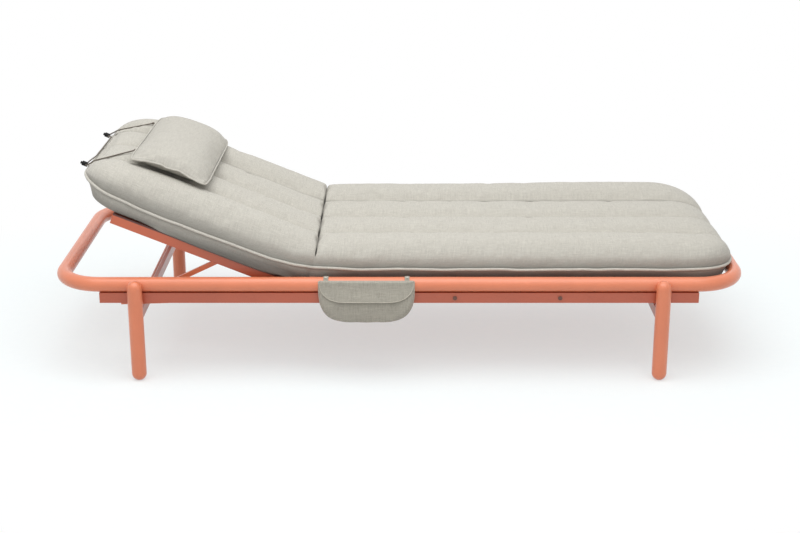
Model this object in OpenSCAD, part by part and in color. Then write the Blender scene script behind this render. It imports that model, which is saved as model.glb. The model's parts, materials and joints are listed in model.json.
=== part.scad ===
// Spa relaxation lounger: a tubular ring frame on four domed legs, a slatted deck,
// a reclining backrest held by a prop in a notched rack, channelled cushions,
// a tied-on head pillow and a small pouch that hangs on the front rail.
// Origin: on the floor, under the middle of the ring. X runs from head (-) to foot (+),
// Y from the front rail (-) to the back rail (+), Z is up.

/* [Ring] */
// Overall length of the ring
ring_l = 2000; // [1800:10:2200]
// Overall width of the ring
ring_w = 800; // [740:10:900]
// Outside diameter of the ring tube
tube_d = 42.4; // [38:0.2:48.4]
// Wall of the ring tube
tube_wall = 2.5; // [1.5:0.1:4]
// Height of the ring tube's axis above the floor
ring_h = 278; // [250:1:340]
// Bend radius of the ring corners, on the tube's axis
bend_r = 125; // [90:1:180]
// Straight arm of each end bow, from its bend to the seam
bow_arm = 50; // [30:1:80]
// Half length of the sleeve inside each seam
sleeve_half_l = 35; // [15:1:60]
// Wall of the sleeves inside the seams
sleeve_wall = 2; // [1:0.1:4]

/* [Side beams] */
// Width of the rectangular beam under each side rail
beam_w = 30; // [26:1:40]
// Height of the side beams
beam_h = 30; // [28:1:40]
// Wall of the side beams
beam_wall = 2; // [1.5:0.1:3]
// Distance of the side beams' ends from the ends of the ring
beam_inset = 148; // [120:1:170]
// Thickness of the caps that close the beam ends
cap_t = 3; // [1:0.1:6]

/* [Legs] */
// Height of the legs' tops above the ring tube's axis
leg_rise = 22; // [2:1:82]
// Diameter of the legs
leg_d = 42.4; // [38:0.2:48.4]
// Distance of each leg's axis from the nearer end of the ring
leg_inset = 250; // [220:1:300]
// Wall of the leg tubes
leg_wall = 2.5; // [1.5:0.1:4]
// Diameter of the flat that each foot stands on
foot_flat_d = 12; // [6:1:20]
// Width of the tie between two legs
tie_w = 20; // [14:1:30]
// Height of the tie's section
tie_h = 30; // [20:1:40]
// Wall of the tie
tie_wall = 2; // [1:0.1:3]
// Drop of the tie's middle below the ring tube's axis
tie_drop = 96; // [78:1:178]

/* [Seat deck] */
// Distance of the first seat member from the hinge axis
member_hinge_gap = 129; // [120:1:150]
// Distance of the last seat member past the axis of the legs at the foot
member_leg_offset = 9; // [0:1:15]
// Number of seat members
member_count = 4; // [4:1:4]
// Width of the seat members
member_w = 30; // [20:1:40]
// Height of the seat members
member_h = 30; // [26:1:34]
// Wall of the seat members and of their end plates
member_wall = 2; // [1.5:0.1:3]
// Number of slats in each deck
slat_count = 5; // [5:1:5]
// Width of a slat
slat_w = 72; // [50:1:90]
// Thickness of a slat
slat_t = 8; // [6:0.5:10]
// Wall of a slat
slat_wall = 1.5; // [1:0.1:2]
// Gap between the outer slats and the side beams
slat_side_gap = 30.8; // [26:0.1:70]
// Gap between the seat slats and the ring at the foot
slat_foot_gap = 43; // [20:1:80]
// Distance from the hinge axis to the seat slats
slat_hinge_gap = 45; // [40:1:60]

/* [Screws] */
// Thread diameter of the member screws
screw_d = 6; // [5:0.5:8]
// Head diameter of the member screws
screw_head_d = 12; // [9:0.5:14]
// Head height of the member screws
screw_head_t = 3; // [2:0.1:3.5]
// Length of the member screws under the head
screw_l = 42; // [36:1:60]

/* [Backrest] */
// Angle of the backrest above the seat as stored
back_angle = 22.2; // [10:0.1:35]
// Steepest angle of the backrest
back_max = 50; // [45:1:55]
// Distance of the hinge axis from the head end of the ring
hinge_from_head = 730; // [722:1:740]
// Drop of the hinge axis below the ring tube's axis
hinge_drop = 38.5; // [36:0.5:41]
// Length of the backrest frame from the hinge axis to its head end
back_l = 587; // [580:1:600]
// Length of the backrest frame past the hinge axis
back_tail = 15; // [12:1:20]
// Gap between the backrest frame and the racks
back_side_gap = 7.8; // [6:0.1:10]
// Width of the backrest frame's side members
side_w = 20; // [18:1:22]
// Height of the backrest frame's side members
side_h = 30; // [26:1:32]
// Wall of the backrest frame tubes
side_wall = 2; // [1.5:0.1:2.5]
// Distance of the hinge axis below the middle of the side members
axis_below_mid = 4; // [2:0.5:5]
// Width of the rails across the backrest
rail_w = 20; // [15:1:22]
// Height of the rails across the backrest
rail_h = 25; // [18:1:28]
// Distance from the hinge axis to the middle of the lowest backrest rail
low_rail_place = 50; // [46:1:60]
// Distance from the middle rail of the backrest to the prop pivot
mid_rail_gap = 43; // [30:1:60]
// Distance from the top rail of the backrest to the end of its frame
top_rail_gap = 22; // [12:1:40]

/* [Hinge and prop] */
// Diameter of the hinge bolts
hinge_pin_d = 10; // [8:0.5:12]
// Head diameter of the hinge bolts
hinge_head_d = 16; // [14:0.5:20]
// Head height of the hinge bolts
hinge_head_t = 4; // [2:0.1:6]
// Depth of the hinge bolts inside the side beams
hinge_bite = 10; // [5:1:20]
// Outside diameter of the hinge bushes
bush_d = 14; // [13:0.5:16]
// Outside diameter of the hinge spacers
spacer_d = 18; // [14:0.5:20]
// Distance from the hinge axis to the prop pivot, and from the pivot to the foot rod
prop_l = 258; // [240:1:275]
// Fall of the foot rod's path below the level, in degrees
path_fall = 1.7; // [1.7:0.1:2]
// Height of a prop arm
arm_h = 14; // [14:1:18]
// Thickness of a prop arm
arm_t = 8; // [5:0.5:9]
// Diameter of the prop's foot rod
rod_d = 8; // [7:0.5:8]
// Diameter of the prop pivot pins
prop_pin_d = 8; // [6:0.5:9]
// Head diameter of the prop pivot pins
prop_head_d = 14; // [11:0.5:16]
// Head height of the prop pivot pins
prop_head_t = 3; // [2:0.1:5]
// Thickness of the recline racks
rack_t = 6; // [4:0.5:8]
// Metal left below the rack's slot
rack_web = 8; // [7.5:0.5:12]
// Drop of the rack's top edge below the beam's top
rack_top_drop = 3; // [0:0.5:5]
// Metal left past each end of the rack's slot
rack_end = 10; // [6:1:15]
// Depth of the notches below the slot
notch_depth = 3.5; // [2:0.1:3.8]
// Diameter of the rack screws
rack_screw_d = 5; // [4:0.5:6]
// Head diameter of the rack screws
rack_head_d = 9; // [8:0.5:10]
// Head height of the rack screws
rack_head_t = 2.5; // [1.5:0.1:3]
// Bite of the rack screws into the side beam
rack_screw_bite = 8; // [4:0.5:15]

/* [Cushions] */
// Gap in plan between the cushions' piping and the side rails
cushion_side_gap = 12.6; // [8:0.1:25]
// Draw-in of the cushion's underside from the piping, at the sides
cushion_tuck = 10; // [8:1:40]
// Thickness of the cushions at the crown of a channel
cushion_t = 107; // [80:1:115]
// Height of the seat cushion's piping above its underside
seat_piping_h = 44; // [36:1:50]
// Height of the back cushion's piping above its underside
back_piping_h = 37; // [37:1:50]
// Depth of the seams between channels
seam_depth = 20; // [8:1:30]
// Height that the outer channels stand above the inner ones
flank_rise = 4; // [0:1:4]
// Number of channels
channel_count = 4; // [3:1:5]
// Corner radius of the cushions in plan
cushion_corner_r = 130; // [90:1:170]
// Length over which the seat cushion's foot end rolls down to its piping
seat_roll = 85; // [50:1:120]
// Length over which the back cushion's head end rolls down to its piping
back_roll = 150; // [148:1:160]
// Length of the rolled edge at the fold
fold_roll = 45; // [20:1:60]
// Distance of the seat cushion's piping inside the foot end of the ring
cushion_foot_inset = 26; // [26:1:60]
// Draw-in of the seat cushion's underside at the foot
seat_end_tuck = 30; // [30:1:60]
// Distance of the back cushion's piping inside the head end of the ring, laid flat
cushion_head_inset = 18; // [18:1:30]
// Draw-in of the back cushion's underside at the head
back_end_tuck = 80; // [80:1:100]

/* [Pillow] */
// Size of the pillow along the backrest
pillow_l = 226; // [180:1:260]
// Size of the pillow across the backrest
pillow_w = 510; // [400:1:560]
// Height of the pillow's crown above its seam
pillow_top = 72; // [40:1:90]
// Depth of the pillow's underside below its seam
pillow_under = 18; // [10:1:40]
// Distance of the pillow's middle from the hinge axis
pillow_place = 499; // [470:1:499]
// Offset of the pillow's middle towards the back rail
pillow_shift = 30; // [0:1:30]

/* [Cord and locks] */
// Diameter of the elastic cord
cord_d = 4; // [3:0.1:4]
// Distance of the cord locks from the middle of the lounger
lock_y = 175; // [175:1:175]
// Height of the cord locks above the hinge axis, square to the backrest
lock_h = 70; // [70:1:70]
// Distance of a cord lock's cord hole past the back cushion
lock_hole_reach = 11.2; // [11.2:0.1:11.2]
// Diameter of a cord lock
lock_d = 14; // [12:0.5:16]
// Length of a cord lock's barrel
lock_l = 16; // [15:0.5:20]
// Diameter of a cord lock's plunger
plunger_d = 8; // [7:0.1:9]
// Length of a cord lock's plunger
plunger_l = 9.8; // [8:0.1:12]
// Travel of a cord lock's plunger
plunger_travel = 3; // [2:0.1:3.4]
// Width of the sewn tabs that hold the cord locks
tab_w = 12; // [8:1:16]
// Thickness of the sewn tabs
tab_t = 2; // [1:0.1:3]

/* [Pouch] */
// Width of the pouch
pouch_w = 269; // [240:1:280]
// Height of the pouch body
pouch_h = 110; // [90:1:120]
// Depth of the pouch body from back to front
pouch_depth = 30; // [20:0.5:30]
// Fabric thickness of the pouch
pouch_wall = 3; // [1.5:0.1:4]
// Corner radius at the bottom of the pouch
pouch_corner_r = 42; // [20:1:50]
// Distance of the pouch's middle from the hinge axis
pouch_place = 177; // [174:1:180]
// Height of the pouch body's top above the ring tube's axis
pouch_rise = 17; // [10:0.5:17]
// Length of the flap down the front
flap_drop = 54; // [35:1:70]
// Thickness of the flap
flap_t = 2.2; // [1.5:0.1:2.4]
// Corner radius of the flap
flap_corner_r = 26; // [10:1:34]
// Distance between the two straps
strap_pitch = 231; // [226:1:236]
// Width of a strap
strap_w = 14; // [10:1:16]
// Thickness of a strap
strap_t = 2; // [1.5:0.1:2]
// Diameter of a strap's stud
stud_d = 8; // [6:0.5:10]
// Height of a strap's stud
stud_t = 2; // [1:0.1:3]
// Place of the stud round the strap, in degrees above the level
stud_angle = 68; // [50:1:85]

/* [Clearances] */
// Radial clearance of a turning pin
running_clear = 0.05; // [0.02:0.01:0.09]
// Side clearance between turning pieces
side_clear = 0.5; // [0.3:0.1:1]
// Gap kept round soft pieces
soft_gap = 0.3; // [0.2:0.1:0.5]
// Gap between the foot rod and its slot
slot_clear = 0.3; // [0.2:0.1:0.5]

/* [Hidden] */
$fn = 64;

coral = "#E5956F";
coral_dark = "#C9795A";
fabric = "#C6C2B6";
dark = "#2A2826";
steel = "#B9BBBD";
overrun = 1;

tube_r = tube_d/2;
leg_r = leg_d/2;
rail_y = ring_w/2 - tube_r;
beam_l = ring_l - 2*beam_inset;
leg_x = ring_l/2 - leg_inset;
leg_h = ring_h + leg_rise;
tie_z = ring_h - tie_drop;
hinge_x = hinge_from_head - ring_l/2;
member_x = hinge_x + member_hinge_gap;
member_pitch = (leg_x + member_leg_offset - member_x)/(member_count - 1);
pouch_x = hinge_x + pouch_place;
seam_x = ring_l/2 - tube_r - bend_r - bow_arm;
beam_top = ring_h - tube_r;
beam_mid = beam_top - beam_h/2;
beam_face = rail_y + beam_w/2;
beam_inner = rail_y - beam_w/2;
leg_y = beam_face + leg_r;
foot_r = foot_flat_d/2;
foot_rise = sqrt(leg_r*leg_r - foot_r*foot_r);
hinge_z = ring_h - hinge_drop;

side_top = axis_below_mid + side_h/2;
side_low = side_h/2 - axis_below_mid;
deck_h = side_top + slat_t;
side_outer = beam_inner - rack_t - back_side_gap;
side_inner = side_outer - side_w;
deck_w = 2*(beam_inner - slat_side_gap);
slat_step = (deck_w - slat_w)/(slat_count - 1);
rail_places = [low_rail_place, prop_l - mid_rail_gap, back_l - top_rail_gap];
seat_deck_z = hinge_z + deck_h;
seat_slat_x = hinge_x + slat_hinge_gap;
seat_slat_end = ring_l/2 - tube_d - slat_foot_gap;
back_slat_s = rail_places[0] - rail_w/2 - rail_w;

rod_r = rod_d/2;
arm_out = side_inner - side_clear;
prop_angle = back_angle + 2*path_fall;
slot_r = rod_r + slot_clear;
function foot_reach(a) = 2*prop_l*cos(a + path_fall);
notch_steps = 3;
notch_angles = concat([for (i = [0:1]) back_angle*i/2],
    [for (i = [0:notch_steps]) back_angle + (back_max - back_angle)*i/notch_steps]);

fold_half = back_max/2;
cushion_base = deck_h + soft_gap;
cushion_half_w = rail_y - tube_r - cushion_side_gap;
seat_cushion_l = ring_l/2 - cushion_foot_inset - hinge_x;
back_cushion_l = hinge_from_head - cushion_head_inset;
pillow_seam = cushion_base + cushion_t + soft_gap + pillow_under;
lock_hole_r = cord_d/2 + soft_gap;
lock_wall = 1.3;
lock_hole_depth = lock_wall + lock_hole_r;
lock_start = back_cushion_l + lock_hole_reach - lock_hole_depth;
lock_bore_depth = plunger_travel + plunger_l/2 + side_clear;

pouch_back = rail_y + tube_r + soft_gap + strap_t;
pouch_front = pouch_back + pouch_depth;
pouch_top = ring_h + pouch_rise;
flap_pivot_z = pouch_top + soft_gap + flap_t/2;

// Box centred on the X and Z axes and running along X from x0 to x1
module bar_x(x0, x1, w, h) {
    translate([x0, -w/2, -h/2]) cube([x1 - x0, w, h]);
}

// Hollow rectangular tube along X, open at both ends
module tube_x(x0, x1, w, h, wall) {
    difference() {
        bar_x(x0, x1, w, h);
        bar_x(x0 - overrun, x1 + overrun, w - 2*wall, h - 2*wall);
    }
}

// Hollow rectangular tube along Y, open at both ends
module tube_y(y0, y1, w, h, wall) {
    rotate([0, 0, 90]) tube_x(y0, y1, w, h, wall);
}

// Round bar along Y
module pin_y(y0, y1, r) {
    translate([0, y0, 0]) rotate([-90, 0, 0]) cylinder(h = y1 - y0, r = r);
}

// Puts its children on both sides: as drawn at +Y, and mirrored to -Y
module both_sides() {
    children();
    mirror([0, 1, 0]) children();
}

// Draws its children at +Y for the back and mirrored to -Y for the front
module on_side(front) {
    if (front) mirror([0, 1, 0]) children();
    else children();
}

// The backrest's own frame: the hinge axis at the origin, the head end along -X
module at_back() {
    translate([hinge_x, 0, hinge_z]) rotate([0, back_angle, 0]) children();
}

// The line that the prop's foot rod runs along, from the hinge axis along -X
module at_path() {
    translate([hinge_x, 0, hinge_z]) rotate([0, -path_fall, 0]) children();
}

module ring_section() {
    difference() {
        circle(r = tube_r);
        circle(r = tube_r - tube_wall);
    }
}

// One quarter bend of the ring, at the corner (+X, +Y) of an end bow
module bow_corner() {
    translate([seam_x + bow_arm, rail_y - bend_r, 0])
        rotate_extrude(angle = 90) translate([bend_r, 0]) ring_section();
}

// End bow of the ring at the foot: two arms, two bends and the straight across
module bow() {
    translate([0, 0, ring_h]) {
        both_sides() {
            bow_corner();
            translate([seam_x, rail_y, 0]) rotate([0, 90, 0]) linear_extrude(bow_arm) ring_section();
        }
        translate([seam_x + bow_arm + bend_r, -rail_y + bend_r, 0])
            rotate([-90, 0, 0]) linear_extrude(2*(rail_y - bend_r)) ring_section();
    }
}

module head_bow() {
    color(coral) mirror([1, 0, 0]) bow();
}

module foot_bow() {
    color(coral) bow();
}

// Straight side rail at +Y
module side_rail() {
    translate([-seam_x, rail_y, ring_h]) rotate([0, 90, 0]) linear_extrude(2*seam_x) ring_section();
}

module side_rail_front() {
    color(coral) on_side(true) side_rail();
}

module side_rail_back() {
    color(coral) on_side(false) side_rail();
}

// Sleeves inside the four seams of the ring
module rail_sleeves() {
    sleeve_r = tube_r - tube_wall;
    color(steel) for (x = [-seam_x, seam_x]) for (y = [-rail_y, rail_y])
        translate([x - sleeve_half_l, y, ring_h]) rotate([0, 90, 0]) difference() {
            cylinder(h = 2*sleeve_half_l, r = sleeve_r);
            translate([0, 0, -overrun]) cylinder(h = 2*sleeve_half_l + 2*overrun, r = sleeve_r - sleeve_wall);
        }
}

// Side beam at +Y with its screw holes and the hinge bolt's hole
module side_beam() {
    difference() {
        translate([0, rail_y, beam_mid]) tube_x(-beam_l/2, beam_l/2, beam_w, beam_h, beam_wall);
        for (i = [0:member_count - 2]) translate([member_x + i*member_pitch, 0, beam_mid])
            pin_y(beam_inner - overrun, beam_face + overrun, screw_d/2);
        translate([hinge_x, 0, hinge_z]) pin_y(beam_inner - overrun, rail_y, hinge_pin_d/2);
        for (x = rack_screw_xs) translate([x, 0, rack_screw_z])
            pin_y(beam_inner - overrun, rail_y, rack_screw_d/2);
    }
}

module side_beam_front() {
    color(coral_dark) on_side(true) side_beam();
}

module side_beam_back() {
    color(coral_dark) on_side(false) side_beam();
}

// Caps on the four beam ends
module beam_end_caps() {
    color(coral_dark) for (x = [-beam_l/2 - cap_t, beam_l/2]) for (y = [-rail_y, rail_y])
        translate([0, y, beam_mid]) bar_x(x, x + cap_t, beam_w, beam_h);
}

// The side rail's outline that legs are coped over, at +Y
module rail_cope() {
    translate([0, rail_y, ring_h]) rotate([0, 90, 0])
        translate([0, 0, -ring_l/2]) cylinder(h = ring_l, r = tube_r);
}

// Leg tube at +Y, coped over the rail, between its two domes
module leg_tube(x) {
    difference() {
        translate([x, leg_y, foot_rise]) cylinder(h = leg_h - leg_r - foot_rise, r = leg_r);
        translate([x, leg_y, foot_rise - overrun])
            cylinder(h = leg_h - leg_r - foot_rise + 2*overrun, r = leg_r - leg_wall);
        rail_cope();
    }
}

module leg_head_front() {
    color(coral) on_side(true) leg_tube(-leg_x);
}

module leg_head_back() {
    color(coral) on_side(false) leg_tube(-leg_x);
}

module leg_foot_front() {
    color(coral) on_side(true) leg_tube(leg_x);
}

module leg_foot_back() {
    color(coral) on_side(false) leg_tube(leg_x);
}

// Half-round caps welded to the tops of the legs
module leg_top_domes() {
    color(coral) both_sides() for (x = [-leg_x, leg_x]) difference() {
        translate([x, leg_y, leg_h - leg_r]) intersection() {
            sphere(r = leg_r);
            cylinder(h = leg_r + overrun, r = leg_r + overrun);
        }
        rail_cope();
    }
}

// Half-round feet, cut flat where they stand
module leg_foot_domes() {
    color(coral) both_sides() for (x = [-leg_x, leg_x]) translate([x, leg_y, 0]) intersection() {
        translate([0, 0, foot_rise]) sphere(r = leg_r);
        cylinder(h = foot_rise, r = leg_r + overrun);
    }
}

// Tie between the two legs at x, coped on both
module leg_tie(x) {
    difference() {
        translate([x, 0, tie_z]) tube_y(-leg_y, leg_y, tie_w, tie_h, tie_wall);
        both_sides() translate([x, leg_y, 0]) cylinder(h = leg_h, r = leg_r);
    }
}

module leg_tie_head() {
    color(coral_dark) leg_tie(-leg_x);
}

module leg_tie_foot() {
    color(coral_dark) leg_tie(leg_x);
}

// Seat member number i, from 0, between the side beams, its ends closed and tapped
module seat_member(i) {
    top = seat_deck_z - slat_t;
    plate = 2*member_wall;
    color(coral_dark) translate([member_x + i*member_pitch, 0, 0]) difference() {
        translate([0, 0, top - member_h/2]) rotate([0, 0, 90]) difference() {
            bar_x(-beam_inner, beam_inner, member_w, member_h);
            bar_x(-beam_inner + plate, beam_inner - plate, member_w - 2*member_wall, member_h - 2*member_wall);
        }
        if (i < member_count - 1) both_sides()
            translate([0, 0, beam_mid]) pin_y(beam_inner - plate - overrun, beam_inner + overrun, screw_d/2);
    }
}

// Screws through the side beams into the seat members
module member_screws() {
    color(steel) both_sides() for (i = [0:member_count - 2])
        translate([member_x + i*member_pitch, 0, beam_mid]) {
            pin_y(beam_face, beam_face + screw_head_t, screw_head_d/2);
            pin_y(beam_face - screw_l, beam_face, screw_d/2);
        }
}

// Flat hollow slat along X, its underside at z = 0
module slat(x0, x1, i) {
    y = -deck_w/2 + slat_w/2 + i*slat_step;
    translate([0, y, slat_t/2]) tube_x(x0, x1, slat_w, slat_t, slat_wall);
}

module seat_slat(i) {
    color(coral_dark) translate([0, 0, seat_deck_z - slat_t]) slat(seat_slat_x, seat_slat_end, i);
}

rack_far = foot_reach(0) + slot_r + rack_end;
rack_near = foot_reach(back_max) - slot_r - rack_end;
rack_top_z = beam_top - rack_top_drop;
rack_screw_z = rack_top_z - rack_head_d;
rack_screw_xs = [hinge_x - rack_near - 2*rack_head_d, hinge_x - rack_far + 2*rack_head_d];
rack_low_far = rack_far*tan(path_fall) + slot_r + rack_web;
rack_low_near = rack_near*tan(path_fall) + slot_r + rack_web;

// Notched rack at +Y on the side beam's inner face, with the slot that the foot rod runs in
module recline_rack() {
    rise = rack_top_z - hinge_z;
    translate([0, beam_inner, 0]) difference() {
        translate([hinge_x, 0, hinge_z]) rotate([90, 0, 0]) linear_extrude(rack_t) polygon([
            [-rack_far, rise], [-rack_far, -rack_low_far], [-rack_near, -rack_low_near], [-rack_near, rise]]);
        translate([0, -rack_t - overrun, 0]) at_path() rotate([-90, 0, 0]) linear_extrude(rack_t + 2*overrun) {
            for (a = [0, back_max]) translate([-foot_reach(a), 0]) circle(r = slot_r);
            translate([-foot_reach(0), -slot_r]) square([foot_reach(0) - foot_reach(back_max), 2*slot_r]);
            for (a = notch_angles) translate([-foot_reach(a), notch_depth]) circle(r = slot_r);
        }
        for (x = rack_screw_xs) translate([x, 0, rack_screw_z])
            pin_y(-rack_t - overrun, overrun, rack_screw_d/2);
    }
}

module recline_rack_front() {
    color(steel) on_side(true) recline_rack();
}

module recline_rack_back() {
    color(steel) on_side(false) recline_rack();
}

module rack_screws() {
    face = beam_inner - rack_t;
    color(steel) both_sides() for (x = rack_screw_xs) translate([x, 0, rack_screw_z]) {
        pin_y(face - rack_head_t, face, rack_head_d/2);
        pin_y(face, beam_inner + rack_screw_bite, rack_screw_d/2);
    }
}

// Shoulder bolts that the backrest turns on, screwed into the side beams
module hinge_bolts() {
    head = side_inner - side_clear;
    color(steel) both_sides() translate([hinge_x, 0, hinge_z]) {
        pin_y(head - hinge_head_t, head, hinge_head_d/2);
        pin_y(head, beam_inner + hinge_bite, hinge_pin_d/2);
    }
}

// Tubes on the hinge bolts between the side beams and the backrest
module hinge_spacers() {
    color(steel) both_sides() translate([hinge_x, 0, hinge_z]) difference() {
        pin_y(side_outer + side_clear, beam_inner, spacer_d/2);
        pin_y(side_outer - overrun, beam_inner + overrun, hinge_pin_d/2);
    }
}

// Side member of the backrest frame at +Y
module back_side() {
    at_back() difference() {
        translate([0, side_outer - side_w/2, axis_below_mid]) tube_x(-back_l, back_tail, side_w, side_h, side_wall);
        pin_y(side_inner - overrun, side_outer + overrun, bush_d/2);
        translate([-prop_l, 0, 0]) pin_y(side_inner - overrun, side_outer + overrun, prop_pin_d/2);
    }
}

module back_side_front() {
    color(coral) on_side(true) back_side();
}

module back_side_back() {
    color(coral) on_side(false) back_side();
}

// Caps on the ends of the backrest's side members
module back_end_caps() {
    color(coral) at_back() both_sides() for (x = [-back_l - cap_t, back_tail])
        translate([0, side_outer - side_w/2, axis_below_mid]) bar_x(x, x + cap_t, side_w, side_h);
}

// Rail across the backrest, its middle at distance s from the hinge axis
module back_rail(s) {
    color(coral_dark) at_back() translate([-s, 0, side_top - rail_h/2])
        tube_y(-side_inner, side_inner, rail_w, rail_h, side_wall);
}

module back_slat(i) {
    color(coral_dark) at_back() translate([0, 0, side_top]) slat(-back_l, -back_slat_s, i);
}

module hinge_bushes() {
    color(dark) at_back() both_sides() difference() {
        pin_y(side_inner, side_outer, bush_d/2);
        pin_y(side_inner - overrun, side_outer + overrun, hinge_pin_d/2 + running_clear);
    }
}

// Pins in the backrest's side members that the prop arms turn on
module prop_pins() {
    inner = arm_out - arm_t - side_clear;
    color(steel) at_back() both_sides() translate([-prop_l, 0, 0]) {
        pin_y(inner - prop_head_t, inner, prop_head_d/2);
        pin_y(inner, side_outer, prop_pin_d/2);
    }
}

// The prop's own frame: its pivot at the origin, its foot along -X
module at_prop() {
    at_back() translate([-prop_l, 0, 0]) rotate([0, -prop_angle - back_angle, 0]) children();
}

// Prop arm at +Y
module prop_arm() {
    at_prop() difference() {
        translate([0, arm_out, 0]) rotate([90, 0, 0]) linear_extrude(arm_t) {
            for (x = [0, -prop_l]) translate([x, 0]) circle(r = arm_h/2);
            translate([-prop_l, -arm_h/2]) square([prop_l, arm_h]);
        }
        pin_y(arm_out - arm_t - overrun, arm_out + overrun, prop_pin_d/2 + running_clear);
        translate([-prop_l, 0, 0]) pin_y(arm_out - arm_t - overrun, arm_out + overrun, rod_r);
    }
}

module prop_arm_front() {
    color(coral) on_side(true) prop_arm();
}

module prop_arm_back() {
    color(coral) on_side(false) prop_arm();
}

// Rod across the prop, its ends in the slots of the racks
module prop_foot_rod() {
    end = beam_inner - side_clear;
    color(steel) at_prop() translate([-prop_l, 0, 0]) pin_y(-end, end, rod_r);
}

channel_steps = 6;
fold_share = 0.55;
corner_angles = [0, 18, 34, 48, 61, 72, 81, 90];

flank_power = 2.8;
tuck_power = 20;

// Height share of the cushion's top at share q of its width, with one arch for each channel and fuller flanks
function arch(p, power = 2) = pow(1 - pow(abs(2*p - 1), power), 1/power);
function channel_share(q, dip, rise) =
    let (k = min(floor(q*channel_count + 1e-6), channel_count - 1), p = max(0, min(1, q*channel_count - k)),
        up = k == 0 || k == channel_count - 1 ? rise : 0)
    (k == 0 && p < 1/2) || (k == channel_count - 1 && p > 1/2) ? (1 + up)*arch(p, flank_power)
        : 1 - dip + (dip + up)*arch(p);

top_shares = [for (k = [0:channel_count - 1]) for (i = [0:channel_steps - (k < channel_count - 1 ? 1 : 0)])
    (k + (1 - cos(180*i/channel_steps))/2)/channel_count];

// Plan half width and crown share of a cushion at distance u, for a cushion of reach l
function plan_half(u, l) =
    let (d = max(0, u - (l - cushion_corner_r)))
    cushion_half_w - cushion_corner_r + sqrt(max(0, pow(cushion_corner_r, 2) - d*d));
function crown_share(u, l, roll) =
    let (d = max(0, u - (l - roll))/roll, f = min(1, u/fold_roll))
    sqrt(max(0, 1 - d*d))*(fold_share + (1 - fold_share)*sqrt(1 - pow(1 - f, 2)));

function cushion_stations(l, roll) = concat([0, fold_roll/8, fold_roll*3/8, fold_roll, l/2],
    roll > cushion_corner_r ? [l - roll] : [],
    [for (a = corner_angles) l - cushion_corner_r + cushion_corner_r*sin(a)]);

// One ring of points round a cushion: across y, up h, with its ends sloped at the fold and tucked at the end
function cushion_ring(u, l, tuck, piping, roll) =
    let (w = plan_half(u, l), c = crown_share(u, l, roll), t = u/l, crown = cushion_t - piping,
        flat = concat([[-w + cushion_tuck, 0]],
            [for (q = top_shares) [w*(2*q - 1), piping + crown*c*channel_share(q, seam_depth/crown, flank_rise/crown)]],
            [[w - cushion_tuck, 0]]))
    [for (p = flat) let (h = cushion_base + p[1],
            start = h*tan(fold_half) + soft_gap)
        [start + (l - start)*t - tuck*max(0, 1 - p[1]/piping)*pow(t, tuck_power), p[0], h]];

// A channelled cushion that starts at the fold and runs along +X from the hinge axis
module cushion(l, tuck, piping, roll) {
    rings = [for (u = cushion_stations(l, roll)) cushion_ring(u, l, tuck, piping, roll)];
    n = len(rings);
    m = len(rings[0]);
    mid = cushion_base + piping/2;
    first = [mid*tan(fold_half) + soft_gap, 0, mid];
    last = [l - tuck/2, 0, mid];
    points = concat([for (r = rings) each r], [first, last]);
    sides = [for (j = [0:n - 2]) for (i = [0:m - 1])
        let (a = j*m + i, b = j*m + (i + 1)%m) each [[a, b, b + m], [a, b + m, a + m]]];
    caps = [for (i = [0:m - 1]) each [[n*m, (i + 1)%m, i], [n*m + 1, (n - 1)*m + i, (n - 1)*m + (i + 1)%m]]];
    polyhedron(points = points, faces = concat(sides, caps));
}

module cushion_seat() {
    color(fabric) translate([hinge_x, 0, hinge_z]) cushion(seat_cushion_l, seat_end_tuck, seat_piping_h, seat_roll);
}

module cushion_back() {
    color(fabric) at_back() mirror([1, 0, 0]) cushion(back_cushion_l, back_end_tuck, back_piping_h, back_roll);
}

pillow_sides = 32;
pillow_power = 4;
pillow_ring_shares = [1, 0.97, 0.9, 0.78, 0.6, 0.35];

// Pillow outline: a rounded rectangle whose corners are drawn out a little
function pillow_reach(a) = pow(pow(abs(cos(a))/(pillow_l/2), pillow_power)
    + pow(abs(sin(a))/(pillow_w/2), pillow_power), -1/pillow_power);
function pillow_swell(r) = pow(1 - pow(r, 2.4), 0.62);

module pillow() {
    n = len(pillow_ring_shares);
    m = pillow_sides;
    function ring(r, depth) = [for (i = [0:m - 1]) let (a = 360*i/m, d = r*pillow_reach(a))
        [d*cos(a), d*sin(a), depth*pillow_swell(r)]];
    top = [for (r = pillow_ring_shares) each ring(r, pillow_top)];
    low = [for (j = [1:n - 1]) each ring(pillow_ring_shares[j], -pillow_under)];
    points = concat(top, low, [[0, 0, pillow_top], [0, 0, -pillow_under]]);
    function upper(j, i) = j*m + i%m;
    function lower(j, i) = j == 0 ? i%m : (n + j - 1)*m + i%m;
    peak = (2*n - 1)*m;
    faces = concat(
        [for (j = [0:n - 2]) for (i = [0:m - 1]) each [
            [upper(j, i), upper(j + 1, i), upper(j + 1, i + 1)], [upper(j, i), upper(j + 1, i + 1), upper(j, i + 1)],
            [lower(j, i), lower(j + 1, i + 1), lower(j + 1, i)], [lower(j, i), lower(j, i + 1), lower(j + 1, i + 1)]]],
        [for (i = [0:m - 1]) each [
            [upper(n - 1, i), peak, upper(n - 1, i + 1)], [lower(n - 1, i), lower(n - 1, i + 1), peak + 1]]]);
    color(fabric) at_back() translate([-pillow_place, pillow_shift, pillow_seam]) polyhedron(points, faces);
}

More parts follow.
